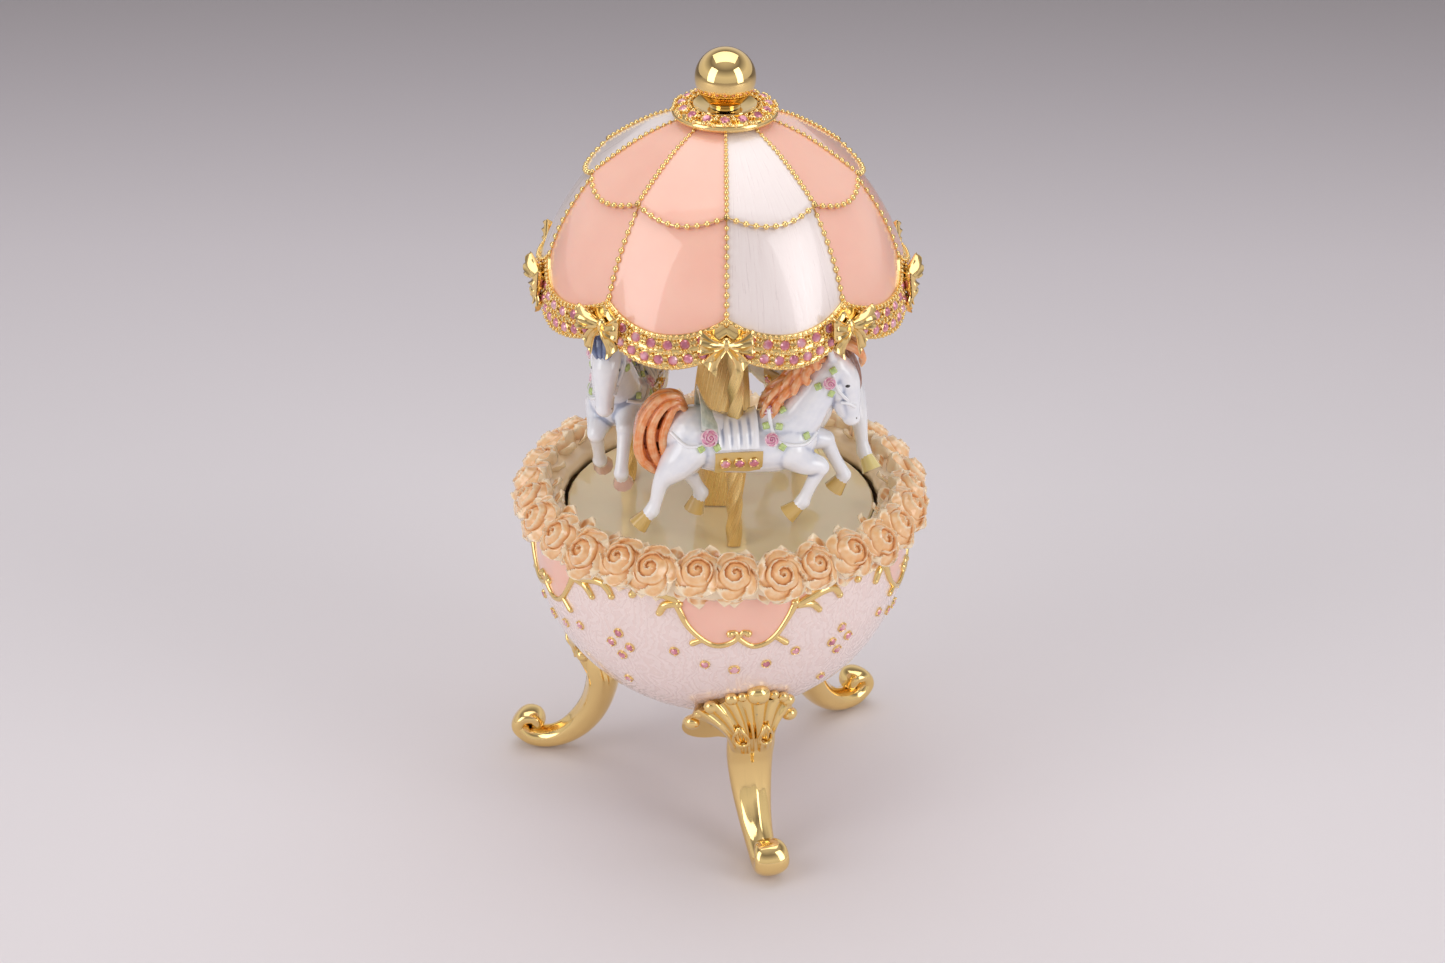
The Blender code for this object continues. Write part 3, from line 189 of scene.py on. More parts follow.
def polar(radius, degrees, z=0.0):
    """A point in metres from a radius and a height in millimetres."""
    turn = math.radians(degrees)
    return Vector((radius * math.cos(turn), radius * math.sin(turn), z)) * MM


def turned(name, outline, steps=128):
    """Spins an outline of (radius, height) in millimetres round the vertical axis."""
    points = [(r * MM, 0.0, z * MM) for r, z in outline]
    obj = new_object(name, points, [(i, i + 1) for i in range(len(points) - 1)])
    only(obj)
    bpy.ops.object.mode_set(mode="EDIT")
    bpy.ops.mesh.select_all(action="SELECT")
    bpy.ops.mesh.spin(steps=steps, angle=2 * math.pi, center=(0, 0, 0), axis=(0, 0, 1))
    bpy.ops.mesh.select_all(action="SELECT")
    bpy.ops.mesh.remove_doubles(threshold=2e-6)
    bpy.ops.mesh.normals_make_consistent(inside=False)
    bpy.ops.object.mode_set(mode="OBJECT")
    return obj


def skinned(name, rows, loop=False):
    """Skins closed rows of points, with a UV map whose u runs round a row and v from row to row."""
    count = len(rows[0])
    down = len(rows) if loop else len(rows) - 1
    faces = []
    corners = []
    for row in range(down):
        here, following = row * count, (row + 1) % len(rows) * count
        for step in range(count):
            beside = (step + 1) % count
            faces.append((here + step, here + beside, following + beside, following + step))
            u0, u1 = step / count, (step + 1) / count
            v0, v1 = row / down, (row + 1) / down
            corners += [(u0, v0), (u1, v0), (u1, v1), (u0, v1)]
    if not loop:
        faces.append(tuple(range(count))[::-1])
        faces.append(tuple((len(rows) - 1) * count + step for step in range(count)))
        corners += [(step / count, 0.0) for step in range(count)][::-1]
        corners += [(step / count, 1.0) for step in range(count)]
    obj = new_object(name, [p for row in rows for p in row], (), faces)
    layer = obj.data.uv_layers.new(name="UVMap")
    layer.data.foreach_set("uv", np.array(corners, np.float32).ravel())
    return face_out(obj)


def smooth_line(points, steps):
    """Points on a Catmull-Rom curve through the given ones, each a tuple of numbers."""
    padded = [points[0], *points, points[-1]]
    line = []
    for at in range(1, len(padded) - 2):
        before, start, end, after = padded[at - 1 : at + 3]
        for step in range(steps):
            t = step / steps
            point = []
            for a, b, c, d in zip(before, start, end, after):
                bend, twist = 2 * a - 5 * b + 4 * c - d, 3 * b - a - 3 * c + d
                point.append(0.5 * (2 * b + (c - a) * t + bend * t**2 + twist * t**3))
            line.append(tuple(point))
    line.append(tuple(points[-1]))
    return line


def tubes(name, paths, width, sides=8, steps=5):
    """Round tubes along paths of (x, y, z, share of the width), in metres, as one mesh."""
    curve = bpy.data.curves.new(name, "CURVE")
    curve.dimensions = "3D"
    curve.bevel_depth = width / 2
    curve.bevel_resolution = max(0, sides // 2 - 2)
    curve.use_fill_caps = True
    for path in paths:
        line = smooth_line([tuple(p) for p in path], steps)
        spline = curve.splines.new("POLY")
        spline.points.add(len(line) - 1)
        for point, (x, y, z, share) in zip(spline.points, line):
            point.co = (x, y, z, 1.0)
            point.radius = max(share, 0.02)
    obj = bpy.data.objects.new(name, curve)
    bpy.context.scene.collection.objects.link(obj)
    only(obj)
    bpy.ops.object.convert(target="MESH")
    return face_out(bpy.context.view_layer.objects.active)


def copies(name, pattern, places):
    """Copies one small mesh to each place, all in one piece, and removes the pattern."""
    mesh = pattern.data
    points = np.array([v.co for v in mesh.vertices], float)
    faces = [tuple(p.vertices) for p in mesh.polygons]
    verts = []
    every = []
    for number, place in enumerate(places):
        turn = np.array(place, float)
        verts.append(points @ turn[:3, :3].T + turn[:3, 3])
        first = number * len(points)
        every += [tuple(first + corner for corner in face) for face in faces]
    made = new_object(name, np.concatenate(verts).tolist(), (), every)
    if "hollow" in mesh.attributes:
        values = np.zeros(len(points), np.float32)
        mesh.attributes["hollow"].data.foreach_get("value", values)
        hollow = made.data.attributes.new("hollow", "FLOAT", "POINT")
        hollow.data.foreach_set("value", np.tile(values, len(places)))
    bpy.data.objects.remove(pattern)
    return made


def joined(name, pieces):
    """Joins objects into the first of them."""
    bpy.ops.object.select_all(action="DESELECT")
    for piece in pieces:
        piece.select_set(True)
    bpy.context.view_layer.objects.active = pieces[0]
    bpy.ops.object.join()
    pieces[0].name = name
    return pieces[0]


def mark_hollows(obj, reach, rounds=5):
    """Stores how deep each point lies in a hollow, from 0 on a crest to 1, with 0.5 where it is flat."""
    mesh = obj.data
    count = len(mesh.vertices)
    points = np.zeros(count * 3)
    normals = np.zeros(count * 3)
    mesh.vertices.foreach_get("co", points)
    mesh.vertices.foreach_get("normal", normals)
    points, normals = points.reshape(-1, 3), normals.reshape(-1, 3)
    ends = np.zeros(len(mesh.edges) * 2, np.int64)
    mesh.edges.foreach_get("vertices", ends)
    ends = ends.reshape(-1, 2)
    degree = np.maximum(np.bincount(ends.ravel(), minlength=count), 1)[:, None]
    eased = points.copy()
    for _ in range(rounds):
        total = np.zeros_like(eased)
        for axis in range(3):
            total[:, axis] = np.bincount(ends[:, 0], eased[ends[:, 1], axis], count)
            total[:, axis] += np.bincount(ends[:, 1], eased[ends[:, 0], axis], count)
        eased = total / degree
    depth = ((eased - points) * normals).sum(axis=1) / (reach * MM)
    attribute = mesh.attributes.get("hollow") or mesh.attributes.new("hollow", "FLOAT", "POINT")
    attribute.data.foreach_set("value", np.clip(0.5 + depth / 2, 0.0, 1.0).astype(np.float32))
    return obj


def finished(obj, body, look, stands_for=(), angle=50.0):
    """Gives a finished mesh its look, its shading, its body and what it stands for."""
    looks = look if isinstance(look, (list, tuple)) else [look]
    obj.data.materials.clear()
    for each in looks:
        obj.data.materials.append(each)
    only(obj)
    bpy.ops.object.shade_smooth_by_angle(angle=math.radians(angle))
    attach(obj, body)
    if stands_for:
        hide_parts(*stands_for)
    return obj


def ball(radius, segments, rings):
    """A round ball at the origin, for a bead, a berry or a knot."""
    bpy.ops.object.select_all(action="DESELECT")
    bpy.ops.mesh.primitive_uv_sphere_add(segments=segments, ring_count=rings, radius=radius)
    return bpy.context.view_layer.objects.active


def bead_pattern(width):
    """One small round bead."""
    return ball(width / 2, 8, 5)


def facing(point, outwards, spin=0.0, size=1.0):
    """A place whose +Z looks along outwards."""
    turn = Vector((0, 0, 1)).rotation_difference(Vector(outwards)).to_matrix().to_4x4()
    return Matrix.Translation(point) @ turn @ Matrix.Rotation(spin, 4, "Z") @ Matrix.Scale(size, 4)


def crystal_pattern(width):
    """A round crystal with a flat table and a ring of facets."""
    bpy.ops.object.select_all(action="DESELECT")
    bpy.ops.mesh.primitive_cylinder_add(vertices=8, radius=width / 2, depth=width * 0.16)
    gem = bpy.context.view_layer.objects.active
    bpy.ops.object.mode_set(mode="EDIT")
    bpy.ops.mesh.select_all(action="DESELECT")
    bpy.ops.mesh.select_mode(type="FACE")
    bpy.ops.object.mode_set(mode="OBJECT")
    for face in gem.data.polygons:
        face.select = face.normal.z > 0.9
    bpy.ops.object.mode_set(mode="EDIT")
    bpy.ops.mesh.extrude_region_move(TRANSFORM_OT_translate={"value": (0, 0, width * 0.17)})
    bpy.ops.transform.resize(value=(0.60, 0.60, 1.0), center_override=(0, 0, 0))
    bpy.ops.transform.rotate(value=math.radians(22.5), orient_axis="Z", center_override=(0, 0, 0))
    bpy.ops.object.mode_set(mode="OBJECT")
    return gem


def setting_pattern(width, claws=4):
    """A gold cup, with claws or without, that holds a round crystal."""
    outline = [(0.50, 0.10), (0.61, 0.04), (0.62, -0.25), (0.40, -0.25), (0.42, 0.02)]
    cup = turned("cup", [(r * width / MM, z * width / MM) for r, z in [*outline, outline[0]]], 10)
    if not claws:
        return cup
    claw = bead_pattern(width * 0.24)
    places = []
    for quarter in range(claws):
        turn = math.radians(45 + 90 * quarter)
        spot = Vector((math.cos(turn), math.sin(turn), 0.22)) * width * 0.5
        places.append(Matrix.Translation(spot))
    return joined("setting", [cup, copies("claws", claw, places)])


# ---------------------------------------------------------------- materials
def look(name):
    """A new material, its node tree and its shader."""
    made = bpy.data.materials.new(name)
    made.use_nodes = True
    return made, made.node_tree, made.node_tree.nodes["Principled BSDF"]


def fill(tree, node, inputs):
    """Sets a node's inputs. A value is a number, a colour or the socket it is linked from."""
    for key, value in inputs.items():
        if isinstance(value, bpy.types.NodeSocket):
            tree.links.new(value, node.inputs[key])
        else:
            node.inputs[key].default_value = value
    return node


def add(tree, kind, inputs=(), **settings):
    """Adds a node with its settings and inputs."""
    made = tree.nodes.new(kind)
    for key, value in settings.items():
        setattr(made, key, value)
    return fill(tree, made, dict(inputs))


def ramp(tree, factor, stops):
    """A colour ramp of (position, sRGB hex) stops."""
    made = add(tree, "ShaderNodeValToRGB", {"Fac": factor})
    elements = made.color_ramp.elements
    while len(elements) < len(stops):
        elements.new(0.5)
    for element, (position, text) in zip(elements, stops):
        element.position = position
        element.color = (*linear(text), 1.0)
    return made.outputs["Color"]


def grey_ramp(tree, factor, low, high, start=0.0, end=1.0):
    """Maps a factor to a number between low and high."""
    made = add(
        tree,
        "ShaderNodeMapRange",
        {"Value": factor, "From Min": start, "From Max": end, "To Min": low, "To Max": high},
    )
    return made.outputs["Result"]


def speckle(tree, size_mm, detail=3.0, distortion=0.0, vector=None):
    """Noise whose features are about size_mm wide."""
    if vector is None:
        vector = add(tree, "ShaderNodeTexCoord").outputs["Object"]
    made = add(
        tree,
        "ShaderNodeTexNoise",
        {"Vector": vector, "Scale": 1.0 / (size_mm * MM), "Detail": detail, "Distortion": distortion},
    )
    return made.outputs["Fac"]


def raised(tree, shader, height, depth_mm, coat=False):
    """Bump of a real depth."""
    made = add(tree, "ShaderNodeBump", {"Height": height, "Distance": depth_mm * MM, "Strength": 1.0})
    tree.links.new(made.outputs["Normal"], shader.inputs["Normal"])
    if coat:
        tree.links.new(made.outputs["Normal"], shader.inputs["Coat Normal"])


def hollow_of(tree):
    """How deep the surface lies in a hollow, as mark_hollows stored it."""
    return add(tree, "ShaderNodeAttribute", attribute_name="hollow").outputs["Fac"]


def blended(tree, factor, first, second, mode="MIX"):
    """Mixes two colours, each a socket or a linear colour."""
    made = add(tree, "ShaderNodeMix", data_type="RGBA", blend_type=mode)
    return fill(tree, made, {0: factor, 6: first, 7: second}).outputs[2]


def solid(tint):
    """A linear colour with full alpha, from three numbers or an sRGB hex value."""
    return (*(linear(tint) if isinstance(tint, str) else tint), 1.0)


def polished_gold(name, tint, roughness=0.10, hollow_shade=0.35, ripple_mm=0.02):
    """Electroplated and polished: a mirror with faint ripples, a little duller and browner in its hollows,
    which is painted shade.
    """
    made, tree, shader = look(name)
    worn_share = grey_ramp(tree, speckle(tree, 4.0, 2.0), 0.0, 0.10, 0.35, 0.7)
    worn = blended(tree, worn_share, solid(tint), solid([c * 0.86 for c in tint]))
    # painted shade: the gold turns darker and browner towards the hollows
    shade_share = grey_ramp(tree, hollow_of(tree), 0.0, hollow_shade, 0.52, 0.95)
    shade_in_hollows = blended(tree, shade_share, worn, solid([c * 0.45 for c in tint]))
    rough = grey_ramp(tree, speckle(tree, 1.2, 4.0), roughness * 0.7, roughness * 1.5, 0.3, 0.7)
    fill(tree, shader, {"Base Color": shade_in_hollows, "Metallic": 1.0, "Roughness": rough})
    raised(tree, shader, speckle(tree, 2.2, 2.0), ripple_mm)
    return made


def streaked_gold(name, tint):
    """Gold-plated twisted bar, drawn through a die: fine lines run along it, between bright and amber."""
    made, tree, shader = look(name)
    place = add(tree, "ShaderNodeUVMap", uv_map="UVMap").outputs["UV"]
    laid = add(tree, "ShaderNodeMapping", {"Vector": place, "Scale": (130.0, 2.5, 1.0)}).outputs["Vector"]
    lines = add(tree, "ShaderNodeTexNoise", {"Vector": laid, "Scale": 1.0, "Detail": 4.0}).outputs["Fac"]
    body = blended(tree, grey_ramp(tree, lines, 0.0, 0.55, 0.42, 0.7), solid(tint), solid("E6BB6C"))
    rough = grey_ramp(tree, lines, 0.20, 0.36, 0.3, 0.7)
    fill(tree, shader, {"Base Color": body, "Metallic": 0.8, "Roughness": rough})
    raised(tree, shader, lines, 0.09)
    return made


def gloss_enamel(name, tint, deep, coat=1.0, coat_ior=1.5):
    """Fired enamel, glassy and even, a little deeper where it pools in the hollows, with painted shade there
    too, and cloudy over a few millimetres.
    """
    made, tree, shader = look(name)
    cloudy = grey_ramp(tree, speckle(tree, 9.0, 3.0), 0.0, 0.35, 0.35, 0.7)
    body = blended(tree, cloudy, solid(tint), solid(deep))
    # deeper colour in the hollows: enamel pooled there, and painted shade
    shade_in_hollows = blended(tree, grey_ramp(tree, hollow_of(tree), 0.0, 0.4, 0.55, 0.95), body, solid(deep))
    fill(tree, shader, {
        "Base Color": shade_in_hollows, "Roughness": 0.32, "IOR": 1.5, "Coat Weight": coat, "Coat IOR": coat_ior,
        "Coat Roughness": 0.04, "Subsurface Weight": 0.12, "Subsurface Scale": 0.6 * MM,
    })  # fmt: skip
    raised(tree, shader, speckle(tree, 6.0, 2.0), 0.035, coat=True)
    return made


def curved_strokes(tree, stroke_mm):
    """Brush strokes of a width in millimetres that sway over about 7 mm."""
    place = add(tree, "ShaderNodeTexCoord").outputs["Object"]
    sway = add(tree, "ShaderNodeTexNoise", {"Vector": place, "Scale": 1.0 / (7.0 * MM), "Detail": 2.0})
    bent = add(
        tree, "ShaderNodeVectorMath", {0: sway.outputs["Color"], 1: (9.0 * MM,) * 3}, operation="MULTIPLY"
    )
    moved = add(tree, "ShaderNodeVectorMath", {0: place, 1: bent.outputs["Vector"]}, operation="ADD")
    waves = {
        "Vector": moved.outputs["Vector"], "Scale": 0.105 / MM / stroke_mm, "Distortion": 11.0, "Detail": 3.0,
        "Detail Scale": 1.5, "Detail Roughness": 0.6,
    }  # fmt: skip
    return add(tree, "ShaderNodeTexWave", waves).outputs["Fac"]


def straight_strokes(tree, scale):
    """Brush strokes that follow the piece's own UV map."""
    place = add(tree, "ShaderNodeUVMap", uv_map="UVMap").outputs["UV"]
    laid = add(tree, "ShaderNodeMapping", {"Vector": place, "Scale": scale}).outputs["Vector"]
    grain = {"Vector": laid, "Scale": 1.0, "Detail": 4.0, "Distortion": 0.6}
    return add(tree, "ShaderNodeTexNoise", grain).outputs["Fac"]


def pearl_enamel(name, tint, pale, deep, strokes_of, size, contrast=0.3):
    """Pearl enamel laid on with a brush: mica flakes in fine strokes, under a clear coat, with painted shade
    in its hollows.
    """
    made, tree, shader = look(name)
    strokes = strokes_of(tree, size)
    flakes = ramp(tree, strokes, [(0.20, deep), (0.55, "FFFFFF"), (0.80, pale)])
    body = blended(tree, contrast, solid(tint), flakes, "MULTIPLY")
    # painted shade: the colour deepens towards the deep tint in the hollows
    shade_in_hollows = blended(tree, grey_ramp(tree, hollow_of(tree), 0.0, 0.55, 0.54, 0.9), body, solid(deep))
    rough = grey_ramp(tree, strokes, 0.24, 0.44, 0.3, 0.7)
    fill(tree, shader, {
        "Base Color": shade_in_hollows, "Metallic": 0.12, "Roughness": rough, "Coat Weight": 0.8,
        "Coat Roughness": 0.06,
    })  # fmt: skip
    raised(tree, shader, strokes, 0.006)
    return made


def painted_enamel(name, crest, middle, recess, stroke_mm=1.6, roughness=0.24, coat=0.9, cloud=0.10):
    """Enamel over relief: pale on the crests, where it was wiped, and deep in the hollows, where it pooled
    and where shade is painted.
    """
    made, tree, shader = look(name)
    streak = speckle(tree, stroke_mm, 2.0)
    uneven = grey_ramp(tree, streak, -cloud, cloud, 0.3, 0.7)
    # pale on crests, deep in hollows: partly wiped and pooled enamel, partly painted shade
    wiped_and_shaded = add(tree, "ShaderNodeMath", {0: hollow_of(tree), 1: uneven}, operation="ADD").outputs[0]
    body = ramp(tree, wiped_and_shaded, [(0.24, crest), (0.50, middle), (0.84, recess)])
    fill(tree, shader, {
        "Base Color": body, "Roughness": roughness, "Coat Weight": coat, "Coat Roughness": 0.06,
    })  # fmt: skip
    raised(tree, shader, streak, 0.02)
    return made


def cut_crystal(name, tint):
    """Foil-backed lead crystal: bright facets whose depth of pink differs from stone to stone."""
    made, tree, shader = look(name)
    stone = speckle(tree, 2.4, 1.0)
    depths = ramp(tree, stone, [(0.34, "9E4560"), (0.50, "DC7F97"), (0.66, "F9CBD3")])
    fill(tree, shader, {
        "Base Color": blended(tree, 0.35, depths, solid(tint)), "Metallic": 0.35, "IOR": 1.9,
        "Roughness": grey_ramp(tree, stone, 0.03, 0.10), "Coat Weight": 1.0, "Coat Roughness": 0.02,
    })  # fmt: skip
    return made


def movement_metal(name, bright, dull, grain_mm=0.15, roughness=0.28):
    """Plate or steel of the movement, ground with a fine grain that runs along X."""
    made, tree, shader = look(name)
    place = add(tree, "ShaderNodeTexCoord").outputs["Object"]
    laid = add(tree, "ShaderNodeMapping", {"Vector": place, "Scale": (0.06, 1.0, 1.0)}).outputs["Vector"]
    grain = speckle(tree, grain_mm, 3.0, 0.0, laid)
    stained = grey_ramp(tree, speckle(tree, 5.0, 3.0), 0.0, 0.5, 0.4, 0.7)
    rough = grey_ramp(tree, grain, roughness * 0.7, roughness * 1.5, 0.3, 0.7)
    body = blended(tree, stained, solid(bright), solid(dull))
    fill(tree, shader, {"Base Color": body, "Metallic": 1.0, "Roughness": rough})
    raised(tree, shader, grain, 0.01)
    return made


# ---------------------------------------------------------------- bowl
def bowl_radius(z):
    """Radius of the bowl's outer surface at a height, in millimetres."""
    drop = min(max(BOWL_CENTRE - z, 0.0) / BOWL_DEPTH, 1.0)
    return BOWL_RADIUS * math.sqrt(1.0 - drop * drop)


def bowl_spot(degrees, z, lift=0.0):
    """A point on the bowl, raised along its normal, and the normal."""
    radius = bowl_radius(z)
    steep = max(BOWL_CENTRE - z, 0.0) / BOWL_DEPTH**2
    normal = Vector((radius / BOWL_RADIUS**2, 0.0, -steep)).normalized()
    turn = Matrix.Rotation(math.radians(degrees), 3, "Z")
    point = turn @ Vector((radius + normal.x * lift, 0.0, z + normal.z * lift)) * MM
    return point, turn @ normal


CARTOUCHES = tuple(275.6 + 72.0 * k for k in range(5))
# (angle from a cartouche's middle, height) along its lower edge
CARTOUCHE_EDGE = (
    (-26.0, 71.0), (-22.4, 70.0), (-20.0, 70.0), (-17.6, 66.6), (-14.8, 62.6), (-10.1, 59.2), (-6.2, 58.0),
    (-2.3, 58.7), (0.2, 59.8), (4.1, 57.6), (8.0, 58.0), (11.6, 60.1), (15.1, 64.0), (17.1, 67.0),
    (22.7, 68.4), (27.2, 69.2), (31.0, 71.0),
)  # fmt: skip
# (angle, height, share of the wire's width) along each raised scroll
SCROLLS = (
    ((-20.0, 70.0, 0.9), (-17.6, 66.6, 1.2), (-14.8, 62.6, 1.05), (-10.1, 59.2, 1.0), (-6.2, 58.0, 1.0),
     (-2.3, 58.7, 1.0), (-0.3, 60.0, 0.95), (-0.7, 61.3, 0.9), (-2.4, 61.2, 1.25)),
    ((0.3, 60.2, 0.8), (1.5, 61.4, 0.9), (3.0, 61.0, 1.25)),
    ((0.3, 60.4, 0.8), (0.6, 59.6, 1.0), (4.1, 57.7, 1.0), (8.0, 58.0, 1.0), (11.6, 60.1, 1.0),
     (15.1, 64.0, 1.05), (17.1, 67.0, 1.25), (17.9, 68.8, 0.8)),
    ((-17.4, 68.3, 1.0), (-20.4, 69.7, 1.9), (-24.6, 70.6, 2.3), (-29.0, 70.5, 1.7), (-32.0, 68.6, 1.3)),
    ((17.4, 66.6, 1.0), (21.4, 67.7, 1.7), (26.2, 68.9, 1.9), (30.0, 68.6, 1.6), (32.4, 66.6, 1.2)),
    ((-18.2, 67.9, 1.2), (-21.8, 67.2, 1.5), (-23.4, 65.2, 1.3)),
    ((17.8, 66.5, 1.2), (22.4, 66.2, 1.4), (25.0, 64.4, 1.2)),
    ((-10.6, 59.4, 0.9), (-13.4, 58.4, 1.2)),
    ((11.4, 59.5, 0.9), (14.6, 57.6, 1.2)),
)  # fmt: skip
SCROLL_ENDS = (
    (-2.4, 61.1, 1.15), (3.0, 61.0, 1.15), (-32.2, 68.2, 1.2), (32.6, 66.2, 1.1), (-17.6, 68.0, 1.3),
    (17.2, 67.4, 1.3), (-13.6, 58.3, 0.9), (14.8, 57.5, 0.9), (-23.6, 65.0, 1.0), (25.2, 64.2, 1.0),
)  # fmt: skip
SECTOR_CRYSTALS = (
    (-19.2, 55.5, 1.0), (-9.9, 52.4, 1.0), (-0.8, 50.9, 1.15), (9.2, 52.0, 1.0), (18.3, 54.5, 1.0),
    (34.6, 57.2, 1.05), (38.0, 54.0, 1.05), (31.4, 54.0, 1.05), (34.6, 51.0, 1.05), (33.0, 42.8, 1.0),
)  # fmt: skip


def make_bowl(looks):
    """The bowl with its pink fields, gold scrolls and set crystals."""
    outer = [(bowl_radius(z), z) for z in np.linspace(BOWL_CENTRE - BOWL_DEPTH + 0.001, BOWL_CENTRE, 60)]
    outer = [(KEY_HOLE, outer[0][1])] + [p for p in outer if p[0] > KEY_HOLE] + [(BOWL_RADIUS, BOWL_RIM)]
    inner = []
    for r, z in outer[::-1]:
        share = r / BOWL_RADIUS
        inner.append((max(r - BOWL_WALL * r / BOWL_RADIUS, KEY_HOLE), z + BOWL_WALL * (1 - share)))
    bowl = turned("bowl", [*outer, *inner, outer[0]], 256)
    mark_hollows(bowl, 0.5)
    finished(bowl, "base", looks["blush"], ["bowl_shell"])

    fields = []
    edge = smooth_line(CARTOUCHE_EDGE, 4)
    for middle in CARTOUCHES:
        rows = []
        for delta, low in edge:
            heights = [low + (FIELD_TOP - low) * step / 16 for step in range(17)]
            front = [bowl_spot(middle + delta, z, 0.10)[0] for z in heights]
            back = [bowl_spot(middle + delta, z, -0.3)[0] for z in heights[::-1]]
            rows.append(front + back)
        fields.append(skinned("field", rows))
    field = joined("bowl_pink_fields", fields)
    finished(field, "base", looks["pink"])

    paths = []
    for middle in CARTOUCHES:
        for scroll in SCROLLS:
            paths.append([(*bowl_spot(middle + delta, z, 0.15)[0], share) for delta, z, share in scroll])
    sizes = bpy.context.scene.music_box_sizes
    scrolls = tubes("bowl_scrolls", paths, sizes.wire, 10, 6)
    knobs = []
    for middle in CARTOUCHES:
        for delta, z, size in SCROLL_ENDS:
            point, normal = bowl_spot(middle + delta, z, 0.15)
            knobs.append(facing(point, normal, 0.0, size))
    ends = copies("ends", bead_pattern(sizes.wire * 1.25), knobs)
    scrolls = joined("bowl_scrolls", [scrolls, ends])
    mark_hollows(scrolls, 0.3)
    finished(scrolls, "base", looks["gold"])

    places = []
    rng = np.random.default_rng(7)
    for middle in CARTOUCHES:
        for delta, z, size in SECTOR_CRYSTALS:
            point, normal = bowl_spot(middle + delta, z, 0.15)
            places.append(facing(point, normal, rng.uniform(0, 6.28), size))
    gems = copies("bowl_crystals", crystal_pattern(sizes.bowl_crystal * 0.86), places)
    finished(gems, "base", looks["crystal"], angle=20)
    cups = copies("bowl_settings", setting_pattern(sizes.bowl_crystal * 0.92), places)
    finished(cups, "base", looks["gold"])


# ---------------------------------------------------------------- wreath of roses
def rose_height(radius, turn, spin):
    """Height of a cast rose's face, in shares: rolled petals round a bud, then five outer ones."""
    dome = 0.50 * (1.0 - radius**2) + 0.10
    if radius < 0.60:
        wound = 2.1 * (radius / 0.60) ** 0.85 + turn / (2 * math.pi) + spin
        share = wound % 1.0
        wall = 0.17 * (1.0 - share) ** 1.5 + 0.06 * math.exp(-(((share - 0.10) / 0.07) ** 2))
        return dome + wall * min(1.0, radius / 0.08)
    wound = 5 * turn / (2 * math.pi) + 1.2 * radius + spin
    share = wound % 1.0
    lip = 0.15 * math.exp(-(((radius - 0.97 + 0.10 * math.cos(2 * math.pi * share)) / 0.08) ** 2))
    step = 0.15 * (1.0 - share) ** 1.2
    return dome + (step + lip) * min(1.0, (radius - 0.60) / 0.07) - 0.06


def rose_pattern(width, spin, rings=26, around=64):
    """One cast rose, open at +Z, with a tapering back that sinks into the band."""
    rows = []
    for ring in range(1, rings + 1):
        radius = ring / rings
        row = []
        for turn in full_turn(around):
            lobe = 1.0 + 0.09 * radius * abs(math.sin(2.5 * turn + spin)) - 0.05 * radius
            reach = width / 2 * radius * lobe
            height = rose_height(radius, turn, spin) * width / 2
            row.append((reach * math.cos(turn), reach * math.sin(turn), height))
        rows.append(row)
    last = rows[-1]
    rows.append([(x * 0.98, y * 0.98, z - width * 0.045) for x, y, z in last])
    rows.append([(x * 0.80, y * 0.80, -width * 0.10) for x, y, z in last])
    rows.append([(x * 0.45, y * 0.45, -width * 0.26) for x, y, z in last])
    rose = skinned("rose", rows)
    return mark_hollows(rose, width * 0.055 / MM, 5)


def petal_pattern(length_mm, width_mm):
    """A thick curled petal that lies along +Y, cupped, with a lip at its tip."""
    rows = []
    for step in range(13):
        share = step / 12
        half = width_mm / 2 * math.sin(math.pi * (0.12 + 0.86 * share)) ** 0.7
        rise = 1.1 * share**2 - 0.5 * share
        thick = 0.42 + 0.25 * math.exp(-(((share - 0.9) / 0.12) ** 2))
        row = []
        for turn in full_turn(16):
            across = half * math.cos(turn)
            cup = 0.55 * (across / (width_mm / 2)) ** 2
            crease = 0.12 * math.cos(3 * math.pi * across / width_mm)
            height = rise + cup + crease * (turn < math.pi) + thick * math.sin(turn)
            row.append((across * MM, length_mm * share * MM, height * MM))
        rows.append(row)
    return mark_hollows(skinned("petal", rows), 0.12, 3)


